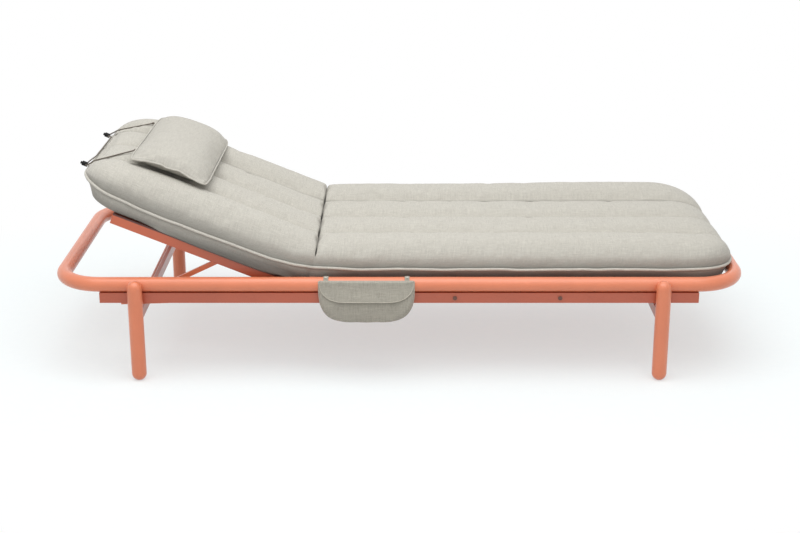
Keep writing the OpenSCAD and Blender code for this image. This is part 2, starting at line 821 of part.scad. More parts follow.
// Route of the elastic cord: distance from the hinge axis, place across, height above the axis
cord_route = [[614, 264, 141], [630, 246, 134.5], [646, 231, 129.5], [662, 217, 122.5], [678, 206, 114.3],
    [692, 198, 104.5], [704, 192, 92.5], [712, 190, 82.5], [718, 188.5, 76], [723.2, 187, 70],
    [723.2, 181, 70], [723.2, 169, 70], [723.2, 163, 70], [721, 156, 76], [716, 144, 82], [710.5, 120, 85],
    [709, 90, 86], [709, 0, 86], [709, -90, 86], [710.5, -120, 85], [716, -144, 82], [721, -156, 76],
    [723.2, -163, 70], [723.2, -169, 70], [723.2, -181, 70], [723.2, -187, 70], [718, -188.5, 76],
    [712, -190, 82.5], [704, -190, 93], [692, -178, 104.5], [678, -164, 113], [662, -147, 121],
    [646, -129, 128], [630, -110, 133.5], [614, -90, 138]];
cord_sides = 8;
cord_cuts = 2;

function spline(a, b, c, d, t) = (2*b + (c - a)*t + (2*a - 5*b + 4*c - d)*t*t + (3*b - a - 3*c + d)*t*t*t)/2;
function pick(i) = cord_route[max(0, min(len(cord_route) - 1, i))];
cord_line = [for (i = [0:len(cord_route) - 2]) for (j = [0:cord_cuts - (i < len(cord_route) - 2 ? 1 : 0)])
    let (p = spline(pick(i - 1), pick(i), pick(i + 1), pick(i + 2), j/cord_cuts)) [-p[0], p[1], p[2]]];

function unit(v) = v/norm(v);
function heading(i) = unit(cord_line[min(len(cord_line) - 1, i + 1)] - cord_line[max(0, i - 1)]);
function carry(n, t) = unit(n - (n*t)*t);
function cord_normals(i, n) = i == len(cord_line) ? [] :
    let (m = carry(n, heading(i))) concat([m], cord_normals(i + 1, m));

module elastic_cord() {
    normals = cord_normals(0, [0, 0, 1]);
    n = len(cord_line);
    m = cord_sides;
    rings = [for (i = [0:n - 1]) let (t = heading(i), u = normals[i], v = cross(t, u))
        for (k = [0:m - 1]) cord_line[i] + cord_d/2*(cos(360*k/m)*u + sin(360*k/m)*v)];
    points = concat(rings, [cord_line[0], cord_line[n - 1]]);
    faces = concat(
        [for (i = [0:n - 2]) for (k = [0:m - 1]) let (a = i*m + k, b = i*m + (k + 1)%m)
            each [[a, b + m, b], [a, a + m, b + m]]],
        [for (k = [0:m - 1]) each [[n*m, k, (k + 1)%m], [n*m + 1, (n - 1)*m + (k + 1)%m, (n - 1)*m + k]]]);
    color(dark) at_back() polyhedron(points, faces);
}

// A cord lock's own frame at the back cushion's head end: its axis along +X, its base at the origin
module at_lock(side) {
    at_back() translate([-lock_start, side*lock_y, lock_h]) rotate([0, 0, 180]) children();
}

module cord_tabs() {
    color(fabric) for (side = [-1, 1]) at_lock(side)
        translate([back_cushion_l + soft_gap - lock_start, -tab_w/2, -tab_t/2])
            cube([lock_start - back_cushion_l - soft_gap, tab_w, tab_t]);
}

module cord_lock_barrels() {
    color(dark) for (side = [-1, 1]) at_lock(side) difference() {
        rotate([0, 90, 0]) cylinder(h = lock_l, r = lock_d/2);
        translate([lock_l - lock_bore_depth, 0, 0]) rotate([0, 90, 0])
            cylinder(h = lock_bore_depth + overrun, r = plunger_d/2 + running_clear);
        translate([lock_hole_depth, 0, 0]) pin_y(-lock_d, lock_d, lock_hole_r);
    }
}

module cord_lock_plunger(side) {
    color(dark) at_lock(side) translate([lock_l - plunger_l/2, 0, 0])
        rotate([0, 90, 0]) cylinder(h = plunger_l, r = plunger_d/2);
}

// Upright panel with two rounded lower corners, its top edge at z = 0
module panel(w, h, r) {
    translate([-w/2, -h + r]) square([w, h - r]);
    translate([-w/2 + r, -h]) square([w - 2*r, r + overrun]);
    for (x = [-w/2 + r, w/2 - r]) translate([x, -h + r]) circle(r = r);
}

// The pouch's own frame: its middle on X, Y as the lounger's, its body's top at z = 0
module at_pouch() {
    translate([pouch_x, 0, pouch_top]) children();
}

module pouch_body() {
    color(fabric) at_pouch() difference() {
        translate([0, -pouch_back, 0]) rotate([90, 0, 0]) linear_extrude(pouch_depth)
            panel(pouch_w, pouch_h, pouch_corner_r);
        translate([0, -pouch_back - pouch_wall, overrun]) rotate([90, 0, 0])
            linear_extrude(pouch_depth - 2*pouch_wall)
                panel(pouch_w - 2*pouch_wall, pouch_h - pouch_wall + overrun, pouch_corner_r - pouch_wall);
    }
}

// Outline of a strap round the rail and its beam, grown by a distance from the tube
module strap_outline(grow) {
    r = tube_r + grow;
    low = beam_top - grow - beam_h - ring_h;
    circle(r = r);
    translate([-r, low]) square([2*r, -low]);
}

module pouch_straps() {
    color(fabric) for (side = [-1, 1])
        translate([pouch_x + side*strap_pitch/2 - strap_w/2, -rail_y, ring_h]) rotate([90, 0, 90])
            linear_extrude(strap_w) difference() {
                strap_outline(soft_gap + strap_t);
                strap_outline(soft_gap);
            }
}

module pouch_studs() {
    color(dark) for (side = [-1, 1]) translate([pouch_x + side*strap_pitch/2, -rail_y, ring_h])
        rotate([90 - stud_angle, 0, 0]) translate([0, 0, tube_r + soft_gap + strap_t])
            cylinder(h = stud_t, r = stud_d/2);
}

module pouch_flap() {
    color(fabric) at_pouch() {
        translate([-pouch_w/2, -pouch_front - soft_gap - flap_t, soft_gap])
            cube([pouch_w, pouch_depth + soft_gap + flap_t, flap_t]);
        translate([0, -pouch_front - soft_gap, soft_gap + flap_t]) rotate([90, 0, 0]) linear_extrude(flap_t)
            panel(pouch_w, flap_drop, flap_corner_r);
    }
}

head_bow();
foot_bow();
side_rail_front();
side_rail_back();
rail_sleeves();
side_beam_front();
side_beam_back();
beam_end_caps();
leg_head_front();
leg_head_back();
leg_foot_front();
leg_foot_back();
leg_top_domes();
leg_foot_domes();
leg_tie_head();
leg_tie_foot();
seat_member(0);  // seat_member_1
seat_member(1);  // seat_member_2
seat_member(2);  // seat_member_3
seat_member(3);  // seat_member_4
member_screws();
seat_slat(0);  // seat_slat_1
seat_slat(1);  // seat_slat_2
seat_slat(2);  // seat_slat_3
seat_slat(3);  // seat_slat_4
seat_slat(4);  // seat_slat_5
recline_rack_front();
recline_rack_back();
rack_screws();
hinge_bolts();
hinge_spacers();
cushion_seat();
back_side_front();
back_side_back();
back_end_caps();
back_rail(rail_places[0]);  // back_rail_low
back_rail(rail_places[1]);  // back_rail_mid
back_rail(rail_places[2]);  // back_rail_top
back_slat(0);  // back_slat_1
back_slat(1);  // back_slat_2
back_slat(2);  // back_slat_3
back_slat(3);  // back_slat_4
back_slat(4);  // back_slat_5
hinge_bushes();
prop_pins();
cushion_back();
pillow();
elastic_cord();
cord_tabs();
cord_lock_barrels();
prop_arm_front();
prop_arm_back();
prop_foot_rod();
cord_lock_plunger(-1);  // cord_lock_plunger_front
cord_lock_plunger(1);  // cord_lock_plunger_back
pouch_body();
pouch_straps();
pouch_studs();
pouch_flap();
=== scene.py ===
import json
import math

import bmesh
import bpy
import numpy as np
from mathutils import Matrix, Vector, noise
from mathutils.bvhtree import BVHTree
from bpy.props import FloatProperty, FloatVectorProperty, PointerProperty


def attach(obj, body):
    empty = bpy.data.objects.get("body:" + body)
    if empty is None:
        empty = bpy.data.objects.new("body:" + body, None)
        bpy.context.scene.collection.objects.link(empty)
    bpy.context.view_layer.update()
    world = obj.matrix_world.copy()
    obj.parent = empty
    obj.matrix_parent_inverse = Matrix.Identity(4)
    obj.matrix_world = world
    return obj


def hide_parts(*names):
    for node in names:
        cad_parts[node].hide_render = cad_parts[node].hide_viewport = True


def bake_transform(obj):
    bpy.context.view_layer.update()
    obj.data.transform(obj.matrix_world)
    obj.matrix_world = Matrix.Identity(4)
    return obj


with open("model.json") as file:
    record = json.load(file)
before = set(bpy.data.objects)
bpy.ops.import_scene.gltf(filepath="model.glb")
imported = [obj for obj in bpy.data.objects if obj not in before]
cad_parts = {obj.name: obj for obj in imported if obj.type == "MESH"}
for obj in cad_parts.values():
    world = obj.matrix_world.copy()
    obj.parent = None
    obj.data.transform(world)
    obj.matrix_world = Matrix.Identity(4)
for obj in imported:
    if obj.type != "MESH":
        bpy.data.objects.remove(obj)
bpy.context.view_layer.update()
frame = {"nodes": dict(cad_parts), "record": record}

bl_info = {
    "name": "Spa Relaxation Lounger",
    "version": (1, 0, 0),
    "blender": (4, 5, 0),
    "location": "View3D > Sidebar > Lounger",
    "description": "Dresses the lounger's frame with its cushion, pillow, cords, pouch and finishes",
    "category": "Object",
}

# Fixed places of the frame, in metres
HINGE_X = -0.270
HINGE_Z = 0.2395
RAIL_Y = 0.3788
RAIL_Z = 0.278
BACK_ANGLE = math.radians(22.2)
BACK_COS = math.cos(BACK_ANGLE)
BACK_SIN = math.sin(BACK_ANGLE)
BACK_UP = np.array((BACK_SIN, 0, BACK_COS))
FOLD_TAN = math.tan(BACK_ANGLE / 2)
CUSHION_BASE = 0.0273
CUSHION_HALF = 0.345
CHANNEL = 0.1725


def on_back(p):
    """Points given as distance up the backrest, place across and height above it, in the lounger's frame."""
    p = np.asarray(p, float)
    s, y, h = p[..., 0], p[..., 1], p[..., 2]
    return np.stack([HINGE_X - s * BACK_COS + h * BACK_SIN, y, HINGE_Z + s * BACK_SIN + h * BACK_COS], -1)


def size_of(name, description, default, low, high):
    """A length that can be changed in the panel."""
    return FloatProperty(name=name, description=description, default=default, min=low, max=high,
                         unit="LENGTH")


def colour_of(name, description, default):
    """A colour that can be changed in the panel."""
    return FloatVectorProperty(name=name, description=description, subtype="COLOR", size=3, default=default,
                               min=0, max=1)


class LoungerCushionSettings(bpy.types.PropertyGroup):
    crown: size_of("Crown", "Thickness of the cushion at the top of a channel", 0.107, 0.06, 0.12)
    seam_depth: size_of("Seam depth", "Depth of the sewn lines between channels", 0.020, 0.004, 0.035)
    fold_depth: size_of("Fold depth", "Depth of the sewn crease over the hinge", 0.046, 0.01, 0.06)
    swell: FloatProperty(name="Spare cloth", default=0.012, min=0.0, max=0.1,
                         description="Share by which the cover is larger than the shape it is sewn to")
    piping: size_of("Piping", "Radius of the corded edge", 0.0044, 0.001, 0.006)


class LoungerPillowSettings(bpy.types.PropertyGroup):
    length: size_of("Length", "Size of the pillow along the backrest", 0.2335, 0.15, 0.3)
    width: size_of("Width", "Size of the pillow across the backrest", 0.560, 0.3, 0.6)
    piping: size_of("Piping", "Radius of the corded edge", 0.0032, 0.001, 0.005)


class LoungerPouchSettings(bpy.types.PropertyGroup):
    width: size_of("Width", "Width of the pouch", 0.2745, 0.2, 0.3)
    bulge: size_of("Bulge", "Depth of the pouch where it is fullest", 0.029, 0.01, 0.03)
    flap_drop: size_of("Flap", "Length of the flap down the front", 0.054, 0.03, 0.07)


class LoungerFinishSettings(bpy.types.PropertyGroup):
    coral: colour_of("Powder coat", "Colour of the painted frame", (0.790, 0.228, 0.104))
    cloth: colour_of("Cushion cloth", "Mean colour of the cushion's weave", (0.575, 0.556, 0.503))
    pouch: colour_of("Pouch cloth", "Mean colour of the pouch's weave", (0.440, 0.420, 0.362))
    cord: colour_of("Elastic", "Colour of the elastic cord", (0.16, 0.135, 0.11))
    thread: size_of("Thread pitch", "Distance between two threads of the weave", 0.0016, 0.0005, 0.004)


class LoungerStageSettings(bpy.types.PropertyGroup):
    floor_size: size_of("Floor", "Length of the floor's side", 60.0, 5.0, 200.0)
    key: FloatProperty(name="Key light", description="Power of the overhead softbox in watts",
                       default=64.0, min=0.0, max=2000.0)
    sky: FloatProperty(name="Fill", description="Strength of the even light from all round",
                       default=0.62, min=0.0, max=2.0)


class NodeKit:
    """Short ways to add and join nodes. A value is a socket, a number or a colour."""

    def __init__(self, tree):
        self.nodes = tree.nodes
        self.link = tree.links.new

    def feed(self, socket, value):
        if hasattr(value, "links"):
            self.link(value, socket)
        elif isinstance(value, (int, float)):
            socket.default_value = value
        else:
            socket.default_value = (*value, 1)

    def dress(self, node, **inputs):
        """Sets inputs of a node, named by keywords with underscores for spaces."""
        for key, value in inputs.items():
            self.feed(node.inputs[key.replace("_", " ")], value)
        return node

    def add(self, kind, **inputs):
        return self.dress(self.nodes.new(kind), **inputs)

    def place(self):
        return self.nodes.new("ShaderNodeTexCoord").outputs["Object"]

    def cloth_map(self):
        uv = self.nodes.new("ShaderNodeUVMap")
        uv.uv_map = "cloth"
        return uv.outputs[0]

    def scaled(self, socket, scale):
        mapping = self.add("ShaderNodeMapping", Vector=socket)
        mapping.inputs["Scale"].default_value = scale
        return mapping.outputs[0]

    def noisy(self, vector, scale, detail=2.0, rough=0.5):
        return self.add("ShaderNodeTexNoise", Vector=vector, Scale=scale, Detail=detail,
                        Roughness=rough).outputs["Fac"]

    def ramp(self, fac, *stops):
        """A colour ramp through stops of place and colour. One number stands for a grey."""
        node = self.add("ShaderNodeValToRGB", Fac=fac)
        elements = node.color_ramp.elements
        full = [(place, (c,) * 3 if isinstance(c, (int, float)) else c) for place, c in stops]
        for element, (place, c) in ((elements[0], full[0]), (elements[1], full[-1])):
            element.position, element.color = place, (*c, 1)
        for place, c in full[1:-1]:
            elements.new(place).color = (*c, 1)
        return node.outputs[0]

    def calc(self, operation, *values):
        node = self.nodes.new("ShaderNodeMath")
        node.operation = operation
        for socket, value in zip(node.inputs, values):
            self.feed(socket, value)
        return node.outputs[0]

    def ripple(self, value):
        return self.calc("ABSOLUTE", self.calc("SINE", value))

    def mixed(self, fac, a, b, blend="MIX"):
        node = self.nodes.new("ShaderNodeMix")
        node.data_type = "RGBA"
        node.blend_type = blend
        for k, value in ((0, fac), (6, a), (7, b)):
            self.feed(node.inputs[k], value)
        return node.outputs[2]

    def times(self, a, b):
        return self.mixed(1.0, a, b, "MULTIPLY")

    def bump(self, shader, height, strength, distance):
        node = self.add("ShaderNodeBump", Strength=strength, Distance=distance, Height=height)
        self.link(node.outputs[0], shader.inputs["Normal"])

    def shown_by(self, fac, a, b):
        """Two shaders, mixed by a factor."""
        node = self.nodes.new("ShaderNodeMixShader")
        for socket, value in zip(node.inputs, (fac, a, b)):
            self.link(value, socket)
        return node.outputs[0]

    def seen_ray(self):
        """1 for rays that the camera sees directly, in a gloss or through glass."""
        path = self.nodes.new("ShaderNodeLightPath").outputs
        direct = self.calc("MAXIMUM", path["Is Camera Ray"], path["Is Glossy Ray"])
        return self.calc("MAXIMUM", direct, path["Is Transmission Ray"])


def new_material(name):
    """A new material with its node kit and its principled shader."""
    material = bpy.data.materials.new(name)
    material.use_nodes = True
    kit = NodeKit(material.node_tree)
    kit.nodes.clear()
    out = kit.nodes.new("ShaderNodeOutputMaterial")
    shader = kit.nodes.new("ShaderNodeBsdfPrincipled")
    kit.link(shader.outputs[0], out.inputs[0])
    return material, kit, shader


def tint(colour, k):
    return tuple(min(1.0, c * k) for c in colour)


def cushion_shadow_paint(kit, place, coat):
    """Painted shade on the backrest's side tubes: nearly black along their tops under the cushion, and deeper
    towards the hinge.
    """
    parts = kit.add("ShaderNodeSeparateXYZ", Vector=place)
    x, z = parts.outputs[0], parts.outputs[2]

    def line(a, b, c):
        return kit.calc("ADD", kit.calc("MULTIPLY_ADD", x, a, c), kit.calc("MULTIPLY", z, b))

    height = line(BACK_SIN, BACK_COS, -HINGE_X * BACK_SIN - HINGE_Z * BACK_COS)
    along = line(-BACK_COS, BACK_SIN, HINGE_X * BACK_COS - HINGE_Z * BACK_SIN)
    limit = kit.calc("MULTIPLY_ADD", along, -0.002, 0.0157)
    over = kit.calc("MULTIPLY_ADD", kit.calc("SUBTRACT", height, limit), 260.0, 0.5)
    # Painted shadow: nearly black on the tops, which the cushion covers, and darker towards the hinge.
    top = kit.ramp(over, (0.15, 1), (0.85, (0.10, 0.07, 0.06)))
    deep = kit.ramp(along, (0.0, (0.35, 0.30, 0.30)), (0.2, (0.62, 0.58, 0.58)),
                    (0.45, (0.92, 0.90, 0.90)), (0.55, 1))
    return kit.times(kit.times(coat, top), deep)


def powder_coat(name, shade, with_cushion_shadow=False):
    """Satin coral powder coat: fine orange peel, faint mottling and slight changes of gloss."""
    colour = tuple(c * k for c, k in zip(bpy.context.scene.lounger_finish.coral, shade))
    material, kit, shader = new_material(name)
    place = kit.place()
    cloud = kit.noisy(place, 9.0, 3.0)
    speck = kit.noisy(place, 700.0, 2.0)
    base = kit.ramp(cloud, (0.3, tint(colour, 0.95)), (0.7, tint(colour, 1.04)))
    coat = kit.times(base, kit.ramp(speck, (0.35, 0.94), (0.65, 1)))
    # The under-cushion option adds painted shade: nearly black along the tubes' tops and darker towards the
    # hinge.
    kit.dress(shader, Base_Color=cushion_shadow_paint(kit, place, coat) if with_cushion_shadow else coat,
              Roughness=kit.calc("MULTIPLY_ADD", kit.noisy(place, 60.0, 3.0), 0.12, 0.36),
              Coat_Weight=0.8, Coat_Roughness=0.36)
    kit.bump(shader, speck, 0.25, 0.0004)
    return material


def steel(name):
    """Zinc-plated steel with fine turning marks."""
    material, kit, shader = new_material(name)
    streak = kit.noisy(kit.scaled(kit.place(), (300, 60, 900)), 1.0, 4.0, 0.6)
    kit.dress(shader, Metallic=1.0, Roughness=kit.ramp(streak, (0.2, 0.28), (0.8, 0.46)),
              Base_Color=kit.ramp(streak, (0.25, (0.42, 0.43, 0.44)), (0.75, (0.62, 0.62, 0.61))))
    kit.bump(shader, streak, 0.15, 0.0002)
    return material


def grained(name, colour):
    """Matt plastic or blackened steel with a fine grain."""
    material, kit, shader = new_material(name)
    grain = kit.noisy(kit.place(), 1400.0, 2.0)
    kit.dress(shader, Base_Color=kit.ramp(grain, (0.3, tint(colour, 0.7)), (0.7, tint(colour, 1.3))),
              Roughness=kit.ramp(grain, (0.3, 0.45), (0.7, 0.6)), Specular_IOR_Level=0.22)
    kit.bump(shader, grain, 0.3, 0.0002)
    return material


def woven(name, colour, contrast=1.0):
    """Plain outdoor weave in two close yarn shades, laid out on the piece's own UV map in metres."""
    pitch = bpy.context.scene.lounger_finish.thread
    material, kit, shader = new_material(name)
    place = kit.cloth_map()
    threads = kit.scaled(place, (math.pi / pitch, math.pi / pitch, 1))
    parts = kit.add("ShaderNodeSeparateXYZ", Vector=threads)
    check = kit.add("ShaderNodeTexChecker", Scale=1.0 / pitch, Vector=place).outputs["Fac"]
    over = kit.mixed(check, kit.ripple(parts.outputs[0]), kit.ripple(parts.outputs[1]))

    def streaks(along, across, rough):
        """The same streaks twice: along the warp and along the weft."""
        scales = ((along, across, 1), (across, along, 1))
        return [kit.noisy(kit.scaled(place, scale), 1.0, 3.0, rough) for scale in scales]

    dark, light = tint(colour, 1 - 0.17 * contrast), tint(colour, 1 + 0.13 * contrast)
    yarns = [kit.ramp(streak, (0.32, dark), (0.5, colour), (0.68, light)) for streak in streaks(28, 620, 0.6)]
    blotch = kit.ramp(kit.noisy(place, 110.0, 5.0, 0.7), (0.3, (0.93, 0.925, 0.915)), (0.7, 1.03))
    slub = kit.ramp(kit.calc("MULTIPLY", *streaks(12, 240, 0.7)), (0.12, (0.94, 0.935, 0.93)),
                    (0.38, (1.04, 1.04, 1.03)))
    toned = kit.times(kit.times(kit.mixed(check, *yarns), blotch), slub)
    # Painted shade from a point attribute darkens the cloth in seams, creases and down the boxing; a small
    # even share only tones it.
    shade_mask = kit.nodes.new("ShaderNodeAttribute")
    shade_mask.attribute_name = "painted_shade_and_tone"
    toned = kit.mixed(shade_mask.outputs["Fac"], toned, tint(colour, 0.22))
    gaps = kit.ramp(over, (0.0, (0.72, 0.71, 0.69)), (0.45, 1))
    kit.dress(shader, Base_Color=kit.times(toned, gaps), Roughness=0.9, Specular_IOR_Level=0.25,
              Sheen_Weight=0.12, Sheen_Roughness=0.5)
    kit.bump(shader, kit.mixed(0.6, (0.5, 0.5, 0.5), over), 0.5, 0.0006)
    return material


# Elastic cord: ribs round it, metres round it and the length of one plait
CORD_RIBS = 3
CORD_ROUND = 0.01257
CORD_PLAIT = 0.004


def braided(name, colour):
    """Braided elastic: two crossing rows of ribs round the cord, on its UV map in metres."""
    material, kit, shader = new_material(name)
    parts = kit.add("ShaderNodeSeparateXYZ", Vector=kit.cloth_map())
    turn = kit.calc("MULTIPLY", parts.outputs[1], 2 * math.pi * CORD_RIBS / CORD_ROUND)
    run = kit.calc("MULTIPLY", parts.outputs[0], 2 * math.pi / CORD_PLAIT)
    ribs = [kit.ripple(kit.calc(op, run, turn)) for op in ("ADD", "SUBTRACT")]
    braid = kit.calc("MULTIPLY", *ribs)
    shades = kit.ramp(braid, (0.0, tint(colour, 0.55)), (0.5, colour), (1.0, tint(colour, 1.5)))
    kit.dress(shader, Base_Color=shades, Roughness=0.8)
    kit.bump(shader, braid, 0.6, 0.0005)
    return material


MADE = {}


def finish_of(slot):
    """The finish of one of the record's material slots, or of a piece's own, made once."""
    if slot not in MADE:
        s = bpy.context.scene.lounger_finish
        cloth, pouch = tuple(s.cloth), tuple(s.pouch)
        ways = {
            "coral_frame": (powder_coat, "coral_powder_coat", (1.0, 1.0, 1.0)),
            # Darker copies of the coat are painted shade: beams and ties under the rail, and side tubes and
            # pins under the cushion.
            "coral_painted_shade": (powder_coat, "coral_powder_coat_flat_tube", (0.62, 0.43, 0.39)),
            "coral_under_cushion": (powder_coat, "coral_powder_coat_under_cushion", (0.78, 0.58, 0.50), True),
            "stud_plastic": (grained, "stud_plastic", (0.50, 0.48, 0.42)),
            "dark_screw": (grained, "blackened_screw", (0.17, 0.09, 0.07)),
            "lock_plastic": (grained, "lock_plastic", (0.006, 0.006, 0.006)),
            "bare_steel": (steel, "zinc_steel"),
            "cushion_fabric": (woven, "cushion_weave", cloth),
            "pouch_fabric": (woven, "pouch_weave", pouch, 1.6),
            "piping": (woven, "piping_weave", tint(cloth, 1.05)),
            "pouch_piping": (woven, "pouch_piping_weave", tint(pouch, 1.3)),
            "webbing": (woven, "webbing_weave", tint(pouch, 0.95), 1.6),
            "thread": (woven, "sewing_thread", tint(cloth, 0.8)),
            "elastic": (braided, "braided_elastic", tuple(s.cord)),
        }
        maker, *how = ways.get(slot, (grained, "bush_plastic", (0.05, 0.05, 0.05)))
        MADE[slot] = maker(*how)
    return MADE[slot]


def shown(name, data):
    """A new object in the scene."""
    obj = bpy.data.objects.new(name, data)
    bpy.context.scene.collection.objects.link(obj)
    return obj


def piece(name, verts, faces, uv, slot):
    """A new smooth mesh object in its place, with its finish and a UV map in metres."""
    mesh = bpy.data.meshes.new(name)
    mesh.from_pydata([tuple(map(float, v)) for v in verts], [], [tuple(map(int, f)) for f in faces])
    layer = mesh.uv_layers.new(name="cloth")
    loops = np.zeros(len(mesh.loops), dtype=np.int32)
    mesh.loops.foreach_get("vertex_index", loops)
    layer.data.foreach_set("uv", np.asarray(uv, float)[loops].astype(np.float32).ravel())
    mesh.validate()
    mesh.polygons.foreach_set("use_smooth", [True] * len(mesh.polygons))
    mesh.materials.append(finish_of(slot))
    return shown(name, mesh)


def coords(obj):
    co = np.zeros(len(obj.data.vertices) * 3, dtype=np.float64)
    obj.data.vertices.foreach_get("co", co)
    return co.reshape(-1, 3)


def paint_shade_and_tone(obj, values):
    """Keeps a share of darkening at every point: painted shade in seams and hollows, or a slight even toning
    of the cloth.
    """
    layer = obj.data.attributes.new("painted_shade_and_tone", "FLOAT", "POINT")
    layer.data.foreach_set("value", [float(v) for v in values])


def set_coords(obj, co):
    obj.data.vertices.foreach_set("co", np.asarray(co, np.float32).ravel())
    obj.data.update()


def plain(obj):
    """Replaces an object's mesh by what its modifiers make of it, and takes the modifiers off."""
    bpy.context.view_layer.update()
    dg = bpy.context.evaluated_depsgraph_get()
    mesh = bpy.data.meshes.new_from_object(obj.evaluated_get(dg), preserve_all_data_layers=True, depsgraph=dg)
    obj.modifiers.clear()
    old = obj.data
    obj.data = mesh
    bpy.data.meshes.remove(old)
    return obj


def smoother(obj):
    m = obj.modifiers.new("smooth", "SUBSURF")
    m.levels = m.render_levels = 1
    return plain(obj)


def outward(obj):
    """Turns all faces of a closed shape outwards."""
    bm = bmesh.new()
    bm.from_mesh(obj.data)
    bmesh.ops.recalc_face_normals(bm, faces=bm.faces)
    bm.to_mesh(obj.data)
    bm.free()
    return obj


def puff(obj, pins, pressure, swell, cap, frames=20, stiff=25.0, bend=0.4):
    """Blows a sewn cover up between its pinned seams with cloth simulation and keeps the result."""
    start = coords(obj)
    group = obj.vertex_groups.new(name="sewn")
    group.add([int(i) for i in pins], 1.0, "REPLACE")
    m = obj.modifiers.new("puff", "CLOTH")
    s = m.settings
    s.quality = 6
    s.mass = 0.25
    s.tension_stiffness = s.compression_stiffness = stiff
    s.shear_stiffness = stiff * 0.4
    s.bending_stiffness = bend
    s.air_damping = 3
    s.vertex_group_mass = "sewn"
    s.use_pressure = True
    s.uniform_pressure_force = pressure
    s.shrink_min = -swell
    s.effector_weights.gravity = 0
    m.collision_settings.use_collision = False
    m.point_cache.frame_start, m.point_cache.frame_end = 1, frames
    scene = bpy.context.scene
    for f in range(1, frames + 1):
        scene.frame_set(f)
    dg = bpy.context.evaluated_depsgraph_get()
    blown = obj.evaluated_get(dg)
    now = np.zeros(len(start) * 3)
    blown.data.vertices.foreach_get("co", now)
    now = now.reshape(-1, 3)
    obj.modifiers.clear()
    obj.vertex_groups.clear()
    scene.frame_set(1)
    move = now - start
    size = np.linalg.norm(move, axis=1)
    if not np.isfinite(size).all():
        raise RuntimeError(obj.name + ": the cloth simulation came out with points that are not numbers")
    move *= (cap * np.tanh(size / cap) / np.maximum(size, 1e-9))[:, None]
    set_coords(obj, start + move)
    return obj


def run_of(path):
    """How far each point of a path is from its start, along it."""
    return np.concatenate([[0], np.cumsum(np.linalg.norm(np.diff(path, axis=0), axis=1))])


def unit(ways):
    """The same directions, each 1 long."""
    return ways / np.linalg.norm(ways, axis=1)[:, None]


def between(path):
    """Directions along a closed path."""
    return unit(np.roll(path, -1, axis=0) - np.roll(path, 1, axis=0))


def skin(count, sides, closed, base=0):
    """Faces of a tube between its rings of points."""
    faces = []
    for i in range(count if closed else count - 1):
        here, there = base + i * sides, base + (i + 1) % count * sides
        for k in range(sides):
            m = (k + 1) % sides
            faces.append((here + k, here + m, there + m, there + k))
    return faces


def swept(path, radius, sides, closed=False):
    """A tube along a path: points, faces and UVs in metres. A closed path joins its ends."""
    path = np.asarray(path, float)
    n = len(path)
    ahead = between(path) if closed else unit(np.gradient(path, axis=0))
    normal = np.array((0.0, 0.0, 1.0))
    verts, uvs = [], []
    run = run_of(path)
    radius = np.broadcast_to(np.asarray(radius, float), (n,))
    for i in range(n):
        normal = normal - normal @ ahead[i] * ahead[i]
        normal = normal / np.linalg.norm(normal)
        side = np.cross(ahead[i], normal)
        for k in range(sides):
            a = 2 * math.pi * k / sides
            verts.append(path[i] + radius[i] * (math.cos(a) * normal + math.sin(a) * side))
            uvs.append((run[i], 2 * math.pi * radius[i] * k / sides))
    faces = skin(n, sides, closed)
    if not closed:
        faces.append(tuple(reversed(range(sides))))
        faces.append(tuple(range((n - 1) * sides, n * sides)))
    return np.array(verts), faces, np.array(uvs)


def tube(name, path, radius, sides, slot):
    """A round cord or trim along an open path."""
    return outward(piece(name, *swept(path, radius, sides), slot))


def even(path, step, closed=False):
    """The same path with points an even step apart."""
    path = np.asarray(path, float)
    if closed:
        path = np.vstack([path, path[:1]])
    length = run_of(path)
    count = max(4, int(round(length[-1] / step)))
    at = np.linspace(0, length[-1], count + 1)
    if closed:
        at = at[:-1]
    return np.stack([np.interp(at, length, path[:, i]) for i in range(3)], -1)


def eased(path, rounds, closed=False):
    """The same path with its corners worn off."""
    path = np.asarray(path, float).copy()
    for _ in range(rounds):
        if closed:
            path = 0.5 * path + 0.25 * (np.roll(path, 1, 0) + np.roll(path, -1, 0))
        else:
            path[1:-1] = 0.5 * path[1:-1] + 0.25 * (path[:-2] + path[2:])
    return path


def spline(points, cuts):
    """The smooth curve that part.scad draws through a cord's points."""
    pts = np.asarray(points, float)
    out = []
    for i in range(len(pts) - 1):
        a, b, c, d = pts[max(i - 1, 0)], pts[i], pts[i + 1], pts[min(i + 2, len(pts) - 1)]
        for j in range(cuts + (1 if i == len(pts) - 2 else 0)):
            t = j / cuts
            square = (2 * a - 5 * b + 4 * c - d) * t * t
            out.append((2 * b + (c - a) * t + square + (3 * b - a - 3 * c + d) * t ** 3) / 2)
    return np.array(out)


def wander(p, scale, seed):
    """Smooth noise from -1 to 1 at a point."""
    return noise.noise(Vector((p[0] * scale + seed, p[1] * scale - seed, p[2] * scale + 2 * seed)))


def step_up(x):
    """A soft step from 0 to 1."""
    x = np.clip(x, 0, 1)
    return x * x * (3 - 2 * x)


# Both halves' reach from the fold, the corner radius in plan, the rolls at the ends and half the fold's width
SEAT_REACH = 1.244
BACK_REACH = 0.712
CORNER = 0.130
SEAT_ROLLS = (0.085, 0.095, 0.115, 0.165)
BACK_ROLL = 0.150
FOLD_HALF = 0.009


